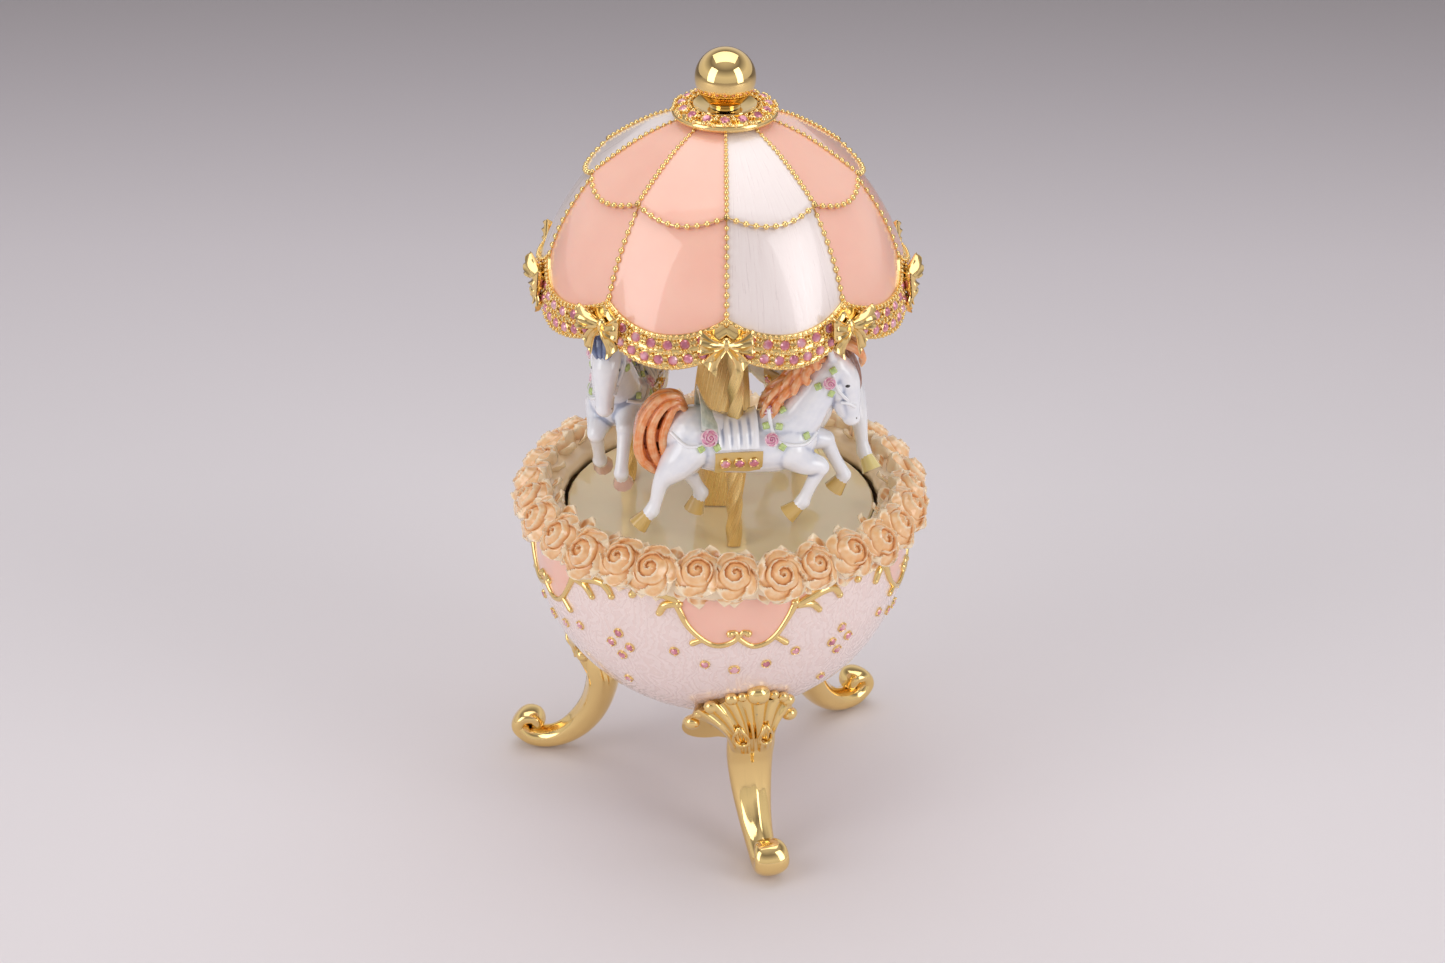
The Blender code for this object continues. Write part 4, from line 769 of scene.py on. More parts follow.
def make_wreath(looks):
    """The lobed band, its roses in three casts, and the loose petals between them."""
    sizes = bpy.context.scene.music_box_sizes
    count = sizes.roses
    rng = np.random.default_rng(11)
    rows = []
    around = 270
    for step in range(around):
        degrees = 360.0 * step / around
        row = []
        for turn in full_turn(20):
            wave = math.sin(math.radians(degrees) * 47 + 2.1 * math.sin(turn * 2))
            lump = 0.35 * wave * math.cos(turn * 3 + degrees * 0.35)
            reach = 1.0 + 0.09 * lump
            wide = 5.2 if math.cos(turn) < 0 else 4.0
            radius = WREATH_CIRCLE + wide * reach * math.cos(turn)
            row.append(polar(radius, degrees, WREATH_MIDDLE + 4.0 * reach * math.sin(turn)))
        rows.append(row)
    band = mark_hollows(skinned("wreath_band", rows, loop=True), 0.10, 6)

    patterns = [rose_pattern(sizes.rose, spin) for spin in (0.0, 1.7, 3.9)]
    groups = [[], [], []]
    for number in range(count):
        degrees = FIRST_ROSE + 360.0 * number / count + rng.uniform(-1.0, 1.0)
        high = rng.uniform(-1.0, 1.0)
        lean = math.radians(46.0 + 9.0 * high)
        out = Vector((math.cos(lean), 0.0, math.sin(lean)))
        turn = Matrix.Rotation(math.radians(degrees + rng.uniform(-4, 4)), 3, "Z")
        side = turn @ out
        point = polar(WREATH_CIRCLE + 1.6 - 0.5 * high, degrees, WREATH_MIDDLE + 1.9 + 0.5 * high)
        groups[number % 3].append(facing(point, side, rng.uniform(0, 6.28), rng.uniform(0.88, 1.0)))
    flowers = [copies("roses", pattern, places) for pattern, places in zip(patterns, groups)]

    petals = []
    for number in range(count * 3):
        degrees = FIRST_ROSE + 360.0 * (number + rng.uniform(-0.25, 0.25)) / (count * 3)
        kind = number % 3
        turn = Matrix.Rotation(math.radians(degrees), 4, "Z")
        if kind == 0:
            place = (WREATH_CIRCLE + 2.8, WREATH_MIDDLE - 0.6)
            tilt, roll = -112.0, rng.uniform(-25, 25)
        elif kind == 1:
            place = (WREATH_CIRCLE - 1.6, WREATH_MIDDLE + 2.4)
            tilt, roll = 180 - (38.0 + rng.uniform(-12, 12)), 180.0 + rng.uniform(-30, 30)
        else:
            place = (WREATH_CIRCLE + 3.0, WREATH_MIDDLE + 0.8)
            tilt, roll = -95.0, rng.uniform(-50, 50)
        local = Matrix.Translation((place[0] * MM, 0, place[1] * MM))
        petals.append(
            turn
            @ local
            @ Matrix.Rotation(math.radians(-90), 4, "Z")
            @ Matrix.Rotation(math.radians(tilt), 4, "X")
            @ Matrix.Rotation(math.radians(roll), 4, "Y")
            @ Matrix.Scale(rng.uniform(0.8, 1.1), 4)
        )
    leaves = copies("petals", petal_pattern(4.6, 4.8), petals)
    wreath = joined("wreath_roses", [band, *flowers, leaves])
    finished(wreath, "base", looks["rose"], ["rose_wreath"])


# ---------------------------------------------------------------- legs
LEGS = (("leg_front", 284.8, 284.8 - 275.6), ("leg_left", 164.8, 0.0), ("leg_right", 44.8, 0.0))
# down a leg: radius, height, thickness, width, and how strong the ridge down its front is
LEG_LINE = (
    (33.0, 38.0, 1.6, 5.0, 0.0), (31.8, 35.4, 3.0, 6.4, 0.0), (30.6, 32.4, 4.2, 8.4, 0.0),
    (29.7, 29.0, 5.4, 10.2, 0.2), (28.9, 25.2, 6.4, 11.0, 0.5), (28.0, 20.2, 6.9, 10.4, 1.0),
    (29.7, 13.6, 6.4, 9.1, 1.0), (33.2, 8.1, 5.9, 7.6, 0.9), (37.6, 4.3, 5.3, 6.6, 0.6),
    (42.0, 2.55, 4.9, 6.6, 0.3),
    (45.6, 2.75, 4.7, 7.2, 0.1), (48.3, 4.9, 4.3, 7.9, 0.0), (47.3, 7.3, 3.7, 7.6, 0.0),
    (44.9, 7.6, 3.3, 6.4, 0.0),
    (44.0, 6.0, 2.9, 5.2, 0.0), (44.9, 5.0, 1.6, 3.6, 0.0),
)  # fmt: skip


def leg_mesh(name, degrees):
    """The cast shaft of one leg, from the bowl to its scrolled toe."""
    line = smooth_line(LEG_LINE, 8)
    rows = []
    for at, (radius, z, thick, wide, ridge) in enumerate(line):
        before, after = line[max(at - 1, 0)], line[min(at + 1, len(line) - 1)]
        down = Vector((after[0] - before[0], after[1] - before[1])).normalized()
        out = Vector((-down.y, down.x))
        row = []
        for turn in full_turn(40):
            c, s = math.cos(turn), math.sin(turn)
            across = abs(c) ** 0.9 * math.copysign(wide / 2, c)
            proud = abs(s) ** 0.9 * math.copysign(thick / 2, s)
            if s > 0:
                proud += 0.7 * ridge * max(0.0, 1.0 - abs(across) / 1.6) * s
            swing = math.degrees(across / max(radius, 1.0))
            row.append(polar(radius + proud * out.x, degrees + swing, max(z + proud * out.y, 0.02)))
        rows.append(row)
    return skinned(name, rows)


LEAF_FOOT, LEAF_TOP = 24.0, 41.3
LEAF_DROP = 6.8  # how much lower the leaf's side tips lie than its middle


def leaf_half(rise):
    """Half the leaf's spread in degrees."""
    return 9.3 + 11.4 * rise**2.4


def leaf_surface(foot_degrees, top_degrees, across, rise):
    """(radius, angle, height) on the leaf: across is -1 to 1, rise is 0 at the shaft and 1 at the tips."""
    degrees = foot_degrees + (top_degrees - foot_degrees) * rise
    z = LEAF_FOOT + (LEAF_TOP - LEAF_FOOT) * rise - LEAF_DROP * (across * rise) ** 2
    blend = rise**1.2
    radius = 32.0 * (1.0 - blend) + (36.6 - 3.2 * across**2) * blend + 1.7 * math.sin(math.pi * rise)
    wave = math.cos(2 * math.pi * 3.5 * across)
    flute = 0.62 * rise**0.6 * wave
    edge = 1.6 * (1.0 - rise) * across**4
    return radius + flute - edge, degrees + leaf_half(rise) * across, z + 0.8 * rise**5 * wave


def leaf_spot(foot_degrees, top_degrees, swing, z, lift):
    """A point on the leaf at an angle from its middle line, at a height."""
    rise = (z - LEAF_FOOT) / (LEAF_TOP - LEAF_FOOT)
    across = swing / leaf_half(rise)
    radius, degrees, _ = leaf_surface(foot_degrees, top_degrees, across, rise)
    return polar(radius + lift, degrees, z)


def acanthus(name, foot_degrees, top_degrees):
    """The fluted leaf that spreads from the shaft up over the bowl, solid down to the bowl."""
    rows = []
    for step in range(33):
        rise = step / 32
        front = []
        back = []
        for part in range(57):
            radius, degrees, z = leaf_surface(foot_degrees, top_degrees, -1.0 + part / 28.0, rise)
            inner = min(radius - 2.2, max(bowl_radius(z) - 0.5, radius - 7.0))
            front.append(polar(radius, degrees, z))
            back.append(polar(inner, degrees, z))
        rows.append(front + back[::-1])
    return skinned(name, rows)


# (angle from the leaf's middle, height, radius, lift) of the berries at the leaf's tips
LEAF_BERRIES = (
    (1.8, 42.4, 2.75, 0.9), (-3.6, 41.9, 1.25, 0.9), (-7.4, 41.5, 1.6, 1.0), (-14.6, 39.0, 1.8, 1.6),
    (-19.4, 37.0, 1.3, 2.4), (11.8, 40.2, 1.4, 1.2), (14.6, 38.8, 1.6, 1.6), (8.0, 41.4, 1.2, 0.9),
    (-22.8, 34.4, 1.9, 3.6), (18.4, 34.6, 1.8, 3.4),
)  # fmt: skip


def make_legs(looks):
    """Each leg's shaft, leaf, berries and teardrop loops, cast as one."""
    for name, degrees, shift in LEGS:
        bracket = degrees - 0.3 * shift
        pieces = [leg_mesh(name, degrees)]
        tips = bracket - 2.2
        pieces.append(acanthus(f"{name}_leaf", degrees, tips))
        for delta, z, size, lift in LEAF_BERRIES:
            point, normal = bowl_spot(bracket + delta, z, lift)
            berry = ball(size * MM, 24, 14)
            berry.data.transform(facing(point, normal) @ Matrix.Diagonal((1.0, 1.0, 0.82, 1.0)))
            pieces.append(berry)
        loops = []
        for side in (-1, 1):
            loop = []
            for step in range(17):
                turn = 2 * math.pi * step / 16
                swing = 2.5 * math.sin(turn) * (1.0 - 0.45 * math.cos(turn))
                z = 30.2 + 2.9 * math.cos(turn)
                loop.append((*leaf_spot(degrees, tips, side * 4.7 + swing, z, 0.55), 0.9))
            loops.append(loop)
        pieces.append(tubes("teardrop", loops, 1.0 * MM, 10, 3))
        leg = joined(f"{name}_cast", pieces)
        mark_hollows(leg, 0.25, 4)
        finished(leg, "base", looks["gold"], [name])


# ---------------------------------------------------------------- platform, column and poles
COLUMN_FOOT = TURNTABLE_TOP / MM + 0.3
CANOPY_CEILING = 161.9


def make_platform(looks):
    """The enamel platform's finish, the twisted column and the three twisted poles."""
    table = frame["nodes"]["turntable"]
    table.data.materials.clear()
    table.data.materials.append(looks["cream"])

    rows = []
    for step in range(161):
        share = step / 160
        row = []
        for turn in full_turn(32):
            square = 4.7 / max(abs(math.cos(turn)), abs(math.sin(turn)))
            height = COLUMN_FOOT + (CANOPY_CEILING - COLUMN_FOOT) * share
            row.append(polar(min(square, 6.35), math.degrees(turn) + 200.0 * share, height))
        rows.append(row)
    column = mark_hollows(skinned("column_bar", rows), 0.1, 3)
    finished(column, "carousel", looks["streaked"], ["twisted_column"], 24)

    for number, degrees in enumerate(POLE_ANGLES, 1):
        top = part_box(f"pole_{number}")[1].z / MM
        rows = []
        for step in range(201):
            share = step / 200
            row = []
            for turn in full_turn(24):
                reach = min(1.46 / max(abs(math.cos(turn)), abs(math.sin(turn))), 1.85)
                spot = turn + math.radians(1080.0 * share)
                height = COLUMN_FOOT + (top - COLUMN_FOOT) * share
                corner = Vector((reach * math.cos(spot), reach * math.sin(spot), height)) * MM
                row.append(polar(POLE_CIRCLE, degrees) + corner)
            rows.append(row)
        pole = mark_hollows(skinned(f"pole_bar_{number}", rows), 0.1, 3)
        finished(pole, "carousel", looks["streaked"], [f"pole_{number}"], 40)


# ---------------------------------------------------------------- canopy
def canopy_shape(degrees, level):
    """(radius, height) of the canopy's skin, in millimetres: 0 at the crown, 1 at the swags, 2 at the rim."""
    between = abs(math.sin(math.radians(degrees - FIRST_RIB) * GORES / 2))
    swag_z = SWAG_Z - 2.2 * between
    swag_radius = SWAG_RADIUS + 1.3 * between
    if level <= 1.0:
        fall = 0.70 * level + 0.30 * level**2
        radius = CROWN_RADIUS + (swag_radius - CROWN_RADIUS) * level + min(1.0, level * 3)
        return radius, CROWN_Z + (swag_z - CROWN_Z) * fall
    share = level - 1.0
    rim_radius = RIM_RADIUS + 2.0 * between
    rim_z = RIM_Z - 4.8 * between**0.7
    bulge = share + 0.85 * share * (1.0 - share)
    return swag_radius + (rim_radius - swag_radius) * bulge, swag_z + (rim_z - swag_z) * share


def canopy_spot(degrees, level, lift=0.0):
    """A point on the canopy, raised along its normal, and the normal."""
    if level <= 1.0:
        low, high = min(level - 0.01, 0.98), min(level, 0.99)
    else:
        low, high = max(level - 0.01, 1.001), level
    if level < 0.01:
        low, high = 0.0, 0.01
    if level > 1.0 and high - low < 0.005:
        low, high = 1.002, 1.012
    first, second = canopy_shape(degrees, low), canopy_shape(degrees, high)
    down = Vector((second[0] - first[0], 0.0, second[1] - first[1])).normalized()
    normal = Vector((-down.z, 0.0, down.x))
    radius, z = canopy_shape(degrees, level)
    turn = Matrix.Rotation(math.radians(degrees), 3, "Z")
    return turn @ Vector((radius + normal.x * lift, 0.0, z + normal.z * lift)) * MM, turn @ normal


def spaced(line, gap):
    """Points a fixed distance apart along a polyline, each with the share of the way along."""
    points = [Vector(p) for p in line]
    steps = [0.0]
    for a, b in zip(points, points[1:]):
        steps.append(steps[-1] + (b - a).length)
    count = max(2, round(steps[-1] / (gap * MM)))
    found = []
    for number in range(count + 1):
        along = steps[-1] * number / count
        at = min(max(int(np.searchsorted(steps, along)) - 1, 0), len(points) - 2)
        share = (along - steps[at]) / max(steps[at + 1] - steps[at], 1e-12)
        found.append((points[at].lerp(points[at + 1], min(share, 1.0)), along / steps[-1]))
    return found


def make_canopy(looks):
    """The enamel gores, gold inside, with beads along every rib and swag."""
    around = 216
    upper = [(level, 0.0) for level in np.linspace(0.0, 0.99, 20)] + [(0.998, -0.12), (1.0, -0.45)]
    lower = [(level, 0.0) for level in np.linspace(1.004, 2.0, 28)]
    inner = [(level, -1.45) for level in np.linspace(1.99, 1.02, 12)]
    inner += [(level, -1.4) for level in np.linspace(0.97, 0.05, 8)]
    profile = [*upper, *lower, *inner]
    rows = []
    for step in range(around):
        degrees = FIRST_RIB + 360.0 * step / around
        rows.append([canopy_spot(degrees, level, lift)[0] for level, lift in profile])
    shell = skinned("canopy_gores", rows, loop=True)
    mark_hollows(shell, 0.25, 2)
    finished(
        shell, "carousel", [looks["pink"], looks["pearl"], looks["gold"]], ["canopy"], 35
    )
    for face in shell.data.polygons:
        spot = face.center
        degrees = math.degrees(math.atan2(spot.y, spot.x)) % 360.0
        gore = int(((degrees - FIRST_RIB) % 360.0) // GORE)
        inside = face.normal.dot(Vector((spot.x, spot.y, 0.02))) < 0
        face.material_index = 2 if inside else (1 if gore % 3 == 0 else 0)

    sizes = bpy.context.scene.music_box_sizes
    beads = []
    wires = []
    for rib in range(GORES):
        degrees = FIRST_RIB + GORE * rib
        high = [canopy_spot(degrees, level, 0.18)[0] for level in np.linspace(0.05, 0.985, 30)]
        low = [canopy_spot(degrees, level, 0.18)[0] for level in np.linspace(1.02, 1.80, 30)]
        for line, gap, first, last in ((high, 1.45, 0.62, 0.86), (low, 1.95, 0.78, 0.98)):
            wires.append([(*point, 1.0) for point in line[::3]])
            for point, share in spaced(line, gap):
                size = first + (last - first) * math.sin(math.pi * min(share * 1.1, 1.0) * 0.62)
                beads.append(Matrix.Translation(point) @ Matrix.Diagonal((size, size, size * 1.15, 1.0)))
        line = [canopy_spot(degrees + GORE * step / 24, 0.995, 0.05)[0] for step in range(25)]
        wires.append([(*point, 1.15) for point in line[::2]])
        for point, share in spaced(line, 2.1):
            outwards = Vector((point.x, point.y, 0.0)).normalized()
            beads.append(facing(point, outwards, 0.0, 1.0))
    strings = copies("strings", bead_pattern(sizes.bead), beads)
    lines = tubes("lines", wires, 0.26 * MM, 6, 2)
    trim = joined("canopy_beads", [strings, lines])
    mark_hollows(trim, 0.2, 2)
    finished(trim, "carousel", looks["gold"])


def rim_level(height):
    """The level on the lower tier whose distance above its lower edge is this many millimetres."""
    return 2.0 - height / LOWER_TIER


def make_rim(looks):
    """The gold band of the canopy's edge with two rows of crystals among small grains."""
    sizes = bpy.context.scene.music_box_sizes
    rng = np.random.default_rng(3)
    around = 360
    outline = [
        (7.5, -0.1), (7.4, 0.45), (7.0, 0.68), (6.5, 0.60), (6.2, 0.42), (4.1, 0.42), (3.8, 0.62),
        (3.3, 0.62),
        (3.0, 0.42), (1.0, 0.42), (0.7, 0.62), (0.2, 0.72), (-0.25, 0.50), (-0.45, 0.0), (-0.45, -1.2),
        (-0.1, -1.9),
        (1.0, -1.9), (5.0, -1.7), (7.0, -1.6),
    ]  # fmt: skip
    rows = []
    for step in range(around):
        degrees = FIRST_RIB + 360.0 * step / around
        rows.append([canopy_spot(degrees, rim_level(height), lift)[0] for height, lift in outline])
    band = skinned("rim", rows, loop=True)

    gems = []
    grains = []
    for gore in range(GORES):
        for height, count in ((1.9, 7), (5.2, 6)):
            for number in range(count):
                share = (number + 0.5) / count
                degrees = FIRST_RIB + GORE * (gore + 0.115 + 0.77 * share)
                point, normal = canopy_spot(degrees, rim_level(height), 0.50)
                gems.append(facing(point, normal, rng.uniform(0, 6.28), 1.0))
                for around_it in range(8):
                    turn = math.radians(22.5 + 45.0 * around_it)
                    up, along = 1.55 * math.sin(turn), 1.55 * math.cos(turn)
                    spot = canopy_spot(degrees + math.degrees(along / 40.0), rim_level(height + up), 0.70)[0]
                    grains.append(Matrix.Translation(spot) @ Matrix.Scale(rng.uniform(0.75, 1.15), 4))
        for height, gap, size in ((7.05, 1.25, 1.0), (0.15, 1.25, 0.9)):
            turns = [FIRST_RIB + GORE * (gore + step / 30) for step in range(31)]
            line = [canopy_spot(turn, rim_level(height), 0.80)[0] for turn in turns]
            for point, _ in spaced(line, gap):
                grains.append(Matrix.Translation(point) @ Matrix.Scale(size * rng.uniform(0.85, 1.15), 4))
    stones = copies("rim_crystals", crystal_pattern(sizes.rim_crystal * 0.86), gems)
    finished(stones, "carousel", looks["crystal"], angle=20)
    cups = copies("cups", setting_pattern(sizes.rim_crystal * 0.92, 0), gems)
    pave = copies("grains", bead_pattern(0.78 * MM), grains)
    rim = joined("rim_settings", [band, cups, pave])
    mark_hollows(rim, 0.2, 3)
    finished(rim, "carousel", looks["gold"])


def bow_loop(side, width_mm):
    """One pleated loop of a bow, from its knot out to a fanned, folded end."""
    rows = []
    for step in range(17):
        share = step / 16
        closing = 1.0 if share < 0.92 else math.sqrt(max(0.0, 1.0 - ((share - 0.92) / 0.085) ** 2))
        half = (0.85 + 2.35 * share**1.15) * (0.86 + 0.14 * closing)
        thick = (0.95 + 0.75 * math.sin(math.pi * min(share * 1.02, 1.0))) * (0.35 + 0.65 * closing)
        row = []
        for turn in full_turn(28):
            up = half * math.cos(turn)
            pleat = 0.36 * math.cos(3.0 * math.pi * up / half) * min(1.0, 2 * share)
            out = thick * math.sin(turn) + (pleat if math.sin(turn) > 0 else 0.0)
            reach = side * (0.5 + (width_mm - 0.5) * share)
            row.append((reach * MM, (up + 0.9 * share**1.5) * MM, (out + 1.4 + 1.3 * share) * MM))
        rows.append(row)
    return skinned("loop", rows)


def bow_tail(side):
    """One ribbon end of a bow, folded down its middle and cut on a slant."""
    rows = []
    for step in range(13):
        share = step / 12
        aside = side * (0.5 + 3.1 * share + 0.5 * math.sin(math.pi * share))
        proud = 0.75 + 0.25 * math.sin(2 * math.pi * share) - 0.25 * share
        middle = Vector((aside, -0.5 - 4.9 * share, proud))
        half = 0.85 + 0.95 * share
        row = []
        for turn in full_turn(16):
            across = half * math.cos(turn)
            fold = 0.30 * math.cos(2.0 * math.pi * across / half)
            slant = 0.8 * share * (across / half) * side if share > 0.8 else 0.0
            x, y = middle.x + across * 0.86, middle.y + side * across * 0.5 + slant
            row.append((x * MM, y * MM, (middle.z + 0.9 + fold + 0.5 * math.sin(turn)) * MM))
        rows.append(row)
    return skinned("tail", rows)


def make_bows(looks):
    """A bow at the foot of every rib."""
    half = bpy.context.scene.music_box_sizes.bow / MM
    knot = ball(1.0 * MM, 20, 14)
    knot.data.transform(Matrix.Translation((0, 0, 1.35 * MM)) @ Matrix.Diagonal((1.15, 1.65, 1.0, 1.0)))
    bow = joined("bow", [bow_loop(1, half), bow_loop(-1, half), bow_tail(1), bow_tail(-1), knot])
    places = []
    for rib in range(GORES):
        degrees = FIRST_RIB + GORE * rib
        point, normal = canopy_spot(degrees, 1.955, 0.35)
        tangent = Vector((0, 0, 1)).cross(normal).normalized()
        upwards = normal.cross(tangent)
        turn = Matrix((tangent, upwards, normal)).transposed().to_4x4()
        places.append(Matrix.Translation(point) @ turn)
    bows = copies("rim_bows", bow, places)
    mark_hollows(bows, 0.14, 4)
    finished(bows, "carousel", looks["gold"])


# ---------------------------------------------------------------- crown: collar and finial
# (radius, swing in degrees, height) of the grains round each crystal of the collar
COLLAR_GRAINS = (
    (11.0, 0.0, 1.9), (11.15, 12.0, 1.75), (10.9, 6.0, 2.0), (7.75, 0.0, 2.45), (7.75, 12.0, 2.45),
    (9.35, 12.0, 2.55),
)  # fmt: skip


def make_crown(looks):
    """The crystal collar on the crown and the polished ball on its flanged neck."""
    rng = np.random.default_rng(5)
    low = 164.9
    collar = turned(
        "collar",
        [
            (7.0, low + 1.3), (7.5, low + 2.1), (8.0, low + 2.35), (8.7, low + 2.2), (10.2, low + 1.9),
            (10.9, low + 1.8),
            (11.35, low + 1.35), (11.45, low + 0.7), (11.1, low + 0.2), (10.2, low), (2.0, low),
            (2.0, low + 1.3), (7.0, low + 1.3),
        ],
        128,
    )  # fmt: skip
    gems = []
    grains = []
    for number in range(15):
        degrees = 360.0 * number / 15 + 6.0
        out = Vector((math.cos(math.radians(degrees)), math.sin(math.radians(degrees)), 2.6)).normalized()
        gems.append(facing(polar(9.35, degrees, low + 2.35), out, rng.uniform(0, 6.28)))
        for radius, swing, rise in COLLAR_GRAINS:
            spot = polar(radius, degrees + swing, low + rise)
            grains.append(Matrix.Translation(spot) @ Matrix.Scale(rng.uniform(0.85, 1.2), 4))
    stones = copies("crown_crystals", crystal_pattern(2.15 * MM), gems)
    finished(stones, "carousel", looks["crystal"], angle=20)
    cups = copies("cups", setting_pattern(2.2 * MM), gems)
    pave = copies("grains", bead_pattern(1.0 * MM), grains)
    collar = joined("crown_collar", [collar, cups, pave])
    mark_hollows(collar, 0.2, 3)
    finished(collar, "carousel", looks["gold"], ["crystal_collar"])

    outline = []
    for step in range(49):
        turn = (math.pi - math.asin(3.5 / 6.6)) * step / 48
        outline.append((6.6 * math.sin(turn), 173.4 + 6.6 * math.cos(turn)))
    outline += [
        (3.2, 167.9), (3.15, 167.3), (3.4, 167.0), (5.2, 167.0), (6.4, 167.35), (6.85, 167.6), (7.0, 167.4),
        (6.95, 167.0),
        (6.4, 166.6), (5.4, 166.5), (2.0, 166.5), (2.0, 170.0), (0.0, 170.0),
    ]  # fmt: skip
    finial = turned("finial_ball", outline, 128)
    mark_hollows(finial, 0.3, 3)
    finished(finial, "carousel", looks["mirror"], ["finial"], 40)


# ---------------------------------------------------------------- horses
BARREL_Z = 25.4  # height of a horse's middle line above the platform
SADDLE_RADIUS = 7.25  # where the blanket's crystals sit, from that line
HORSES = (
    # name, pole angle, turn on the pole, mane, tail, hoof
    ("horse_1", POLE_ANGLES[0], 0.0, "flame", "flame", "hoof"),
    ("horse_2", POLE_ANGLES[1], 12.0, "navy", "yellow", "rosy"),
    ("horse_3", POLE_ANGLES[2], 0.0, "umber", "umber", "yellow"),
)
# limbs as (forward, sideways, up, radius), in millimetres from the pole's foot
BODY_LIMBS = (
    ((-9.4, 0.0, 27.6, 6.7), (-4.0, 0.0, 25.6, 6.5), (2.0, 0.0, 24.8, 6.4), (8.5, 0.0, 25.2, 6.9),
     (11.6, 0.0, 26.2, 6.5)),
    ((8.0, 0.0, 28.2, 5.4), (13.0, 0.0, 30.2, 5.5), (16.4, 0.0, 35.0, 4.7), (19.4, 0.0, 39.6, 3.9),
     (21.6, 0.0, 42.4, 3.3)),
    ((21.4, 0.0, 42.8, 3.2), (23.6, 0.0, 39.8, 3.2), (24.6, 0.0, 36.4, 2.7), (25.2, 0.0, 32.4, 2.15),
     (25.4, 0.0, 30.2, 2.1)),
    ((21.0, 0.0, 38.6, 2.9), (22.2, 0.0, 35.6, 2.3), (23.8, 0.0, 31.6, 1.7)),
    ((21.4, 1.6, 38.6, 2.0), (22.0, 1.2, 36.4, 1.7)),
    ((21.4, -1.6, 38.6, 2.0), (22.0, -1.2, 36.4, 1.7)),
    ((20.6, 1.6, 45.0, 0.95), (20.2, 2.0, 46.6, 0.8), (20.0, 2.2, 48.0, 0.4)),
    ((20.6, -1.6, 45.0, 0.95), (20.2, -2.0, 46.6, 0.8), (20.0, -2.2, 48.0, 0.4)),
    ((-10.2, -2.8, 26.0, 4.9), (-13.0, -3.3, 22.6, 3.9), (-15.8, -3.5, 19.4, 2.3), (-16.9, -3.5, 17.2, 1.75)),
    ((-16.9, -3.5, 17.2, 1.75), (-17.7, -3.5, 13.6, 1.45), (-18.5, -3.5, 11.4, 1.75)),
    ((-18.5, -3.5, 11.4, 1.7), (-19.8, -3.5, 10.0, 1.5)),
    ((-8.4, 2.8, 25.0, 4.9), (-9.6, 3.3, 20.6, 3.7), (-10.0, 3.5, 17.6, 2.2), (-9.2, 3.5, 16.0, 1.75)),
    ((-9.2, 3.5, 16.0, 1.75), (-7.8, 3.5, 13.4, 1.45), (-6.9, 3.5, 11.6, 1.75)),
    ((-6.9, 3.5, 11.6, 1.65), (-7.6, 3.5, 9.9, 1.5)),
    ((11.6, -3.0, 24.4, 4.4), (14.6, -3.4, 21.6, 3.0), (17.6, -3.5, 20.6, 2.2), (18.3, -3.5, 20.0, 2.05)),
    ((18.3, -3.5, 20.0, 1.9), (16.6, -3.5, 16.4, 1.5), (15.2, -3.5, 13.2, 1.45), (14.6, -3.5, 11.8, 1.75)),
    ((14.6, -3.5, 11.8, 1.65), (13.4, -3.5, 10.6, 1.5)),
    ((13.4, 3.0, 24.8, 4.2), (17.4, 3.4, 24.0, 2.9), (20.4, 3.5, 23.2, 2.1)),
    ((20.4, 3.5, 23.2, 1.9), (22.4, 3.5, 18.8, 1.5), (24.2, 3.5, 15.4, 1.5), (24.7, 3.5, 14.2, 1.75)),
    ((24.7, 3.5, 14.2, 1.65), (24.0, 3.5, 12.8, 1.5)),
)  # fmt: skip
HOOVES = (
    ((-19.4, -3.5, 10.6), (-21.6, -3.5, 7.9)),
    ((-7.4, 3.5, 10.6), (-8.5, 3.5, 7.3)),
    ((13.9, -3.5, 11.0), (11.2, -3.5, 8.7)),
    ((24.3, 3.5, 13.4), (22.5, 3.5, 10.7)),
)
MANE_LOCKS = (
    ((21.6, 47.2), (18.4, 47.6), (15.6, 46.0), (14.6, 43.4), 1.35),
    ((19.6, 45.2), (16.8, 45.4), (13.6, 43.0), (12.4, 39.8), 1.30),
    ((17.6, 42.6), (14.4, 42.8), (11.4, 40.4), (9.6, 37.6), 1.30),
    ((15.6, 40.0), (12.4, 40.2), (9.0, 38.4), (6.6, 35.8), 1.25),
    ((13.6, 37.2), (10.4, 37.6), (7.4, 36.0), (5.6, 33.2), 1.2),
    ((11.8, 34.6), (8.8, 35.0), (6.4, 33.4), (5.8, 31.2), 1.1),
)  # fmt: skip
TAIL_OUTER = (
    (-10.6, 33.6), (-12.6, 37.0), (-16.6, 37.2), (-20.0, 33.4), (-21.2, 28.0), (-20.6, 23.6), (-18.6, 20.6),
    (-16.6, 18.6),
)  # fmt: skip
TAIL_INNER = (
    (-10.4, 32.6), (-11.6, 34.8), (-13.4, 34.4), (-14.8, 31.6), (-15.6, 28.4), (-14.8, 24.8), (-13.0, 21.6),
    (-11.4, 19.2),
)  # fmt: skip


def grown(name, limbs, voxel_mm, ease):
    """One smooth skin over balls laid closely along limbs."""
    spheres = []
    for limb in limbs:
        line = smooth_line(limb, 6)
        for before, after in zip(line, line[1:]):
            gap = math.dist(before[:3], after[:3])
            parts = max(1, math.ceil(gap / (min(before[3], after[3]) * 0.22)))
            for part in range(parts + 1):
                x, y, z, r = (a + (b - a) * part / parts for a, b in zip(before, after))
                spheres.append(Matrix.Translation(Vector((x, y, z)) * MM) @ Matrix.Scale(r, 4))
    bpy.ops.object.select_all(action="DESELECT")
    bpy.ops.mesh.primitive_ico_sphere_add(subdivisions=3, radius=MM)
    body = copies(name, bpy.context.view_layer.objects.active, spheres)
    return fused(body, voxel_mm, ease)


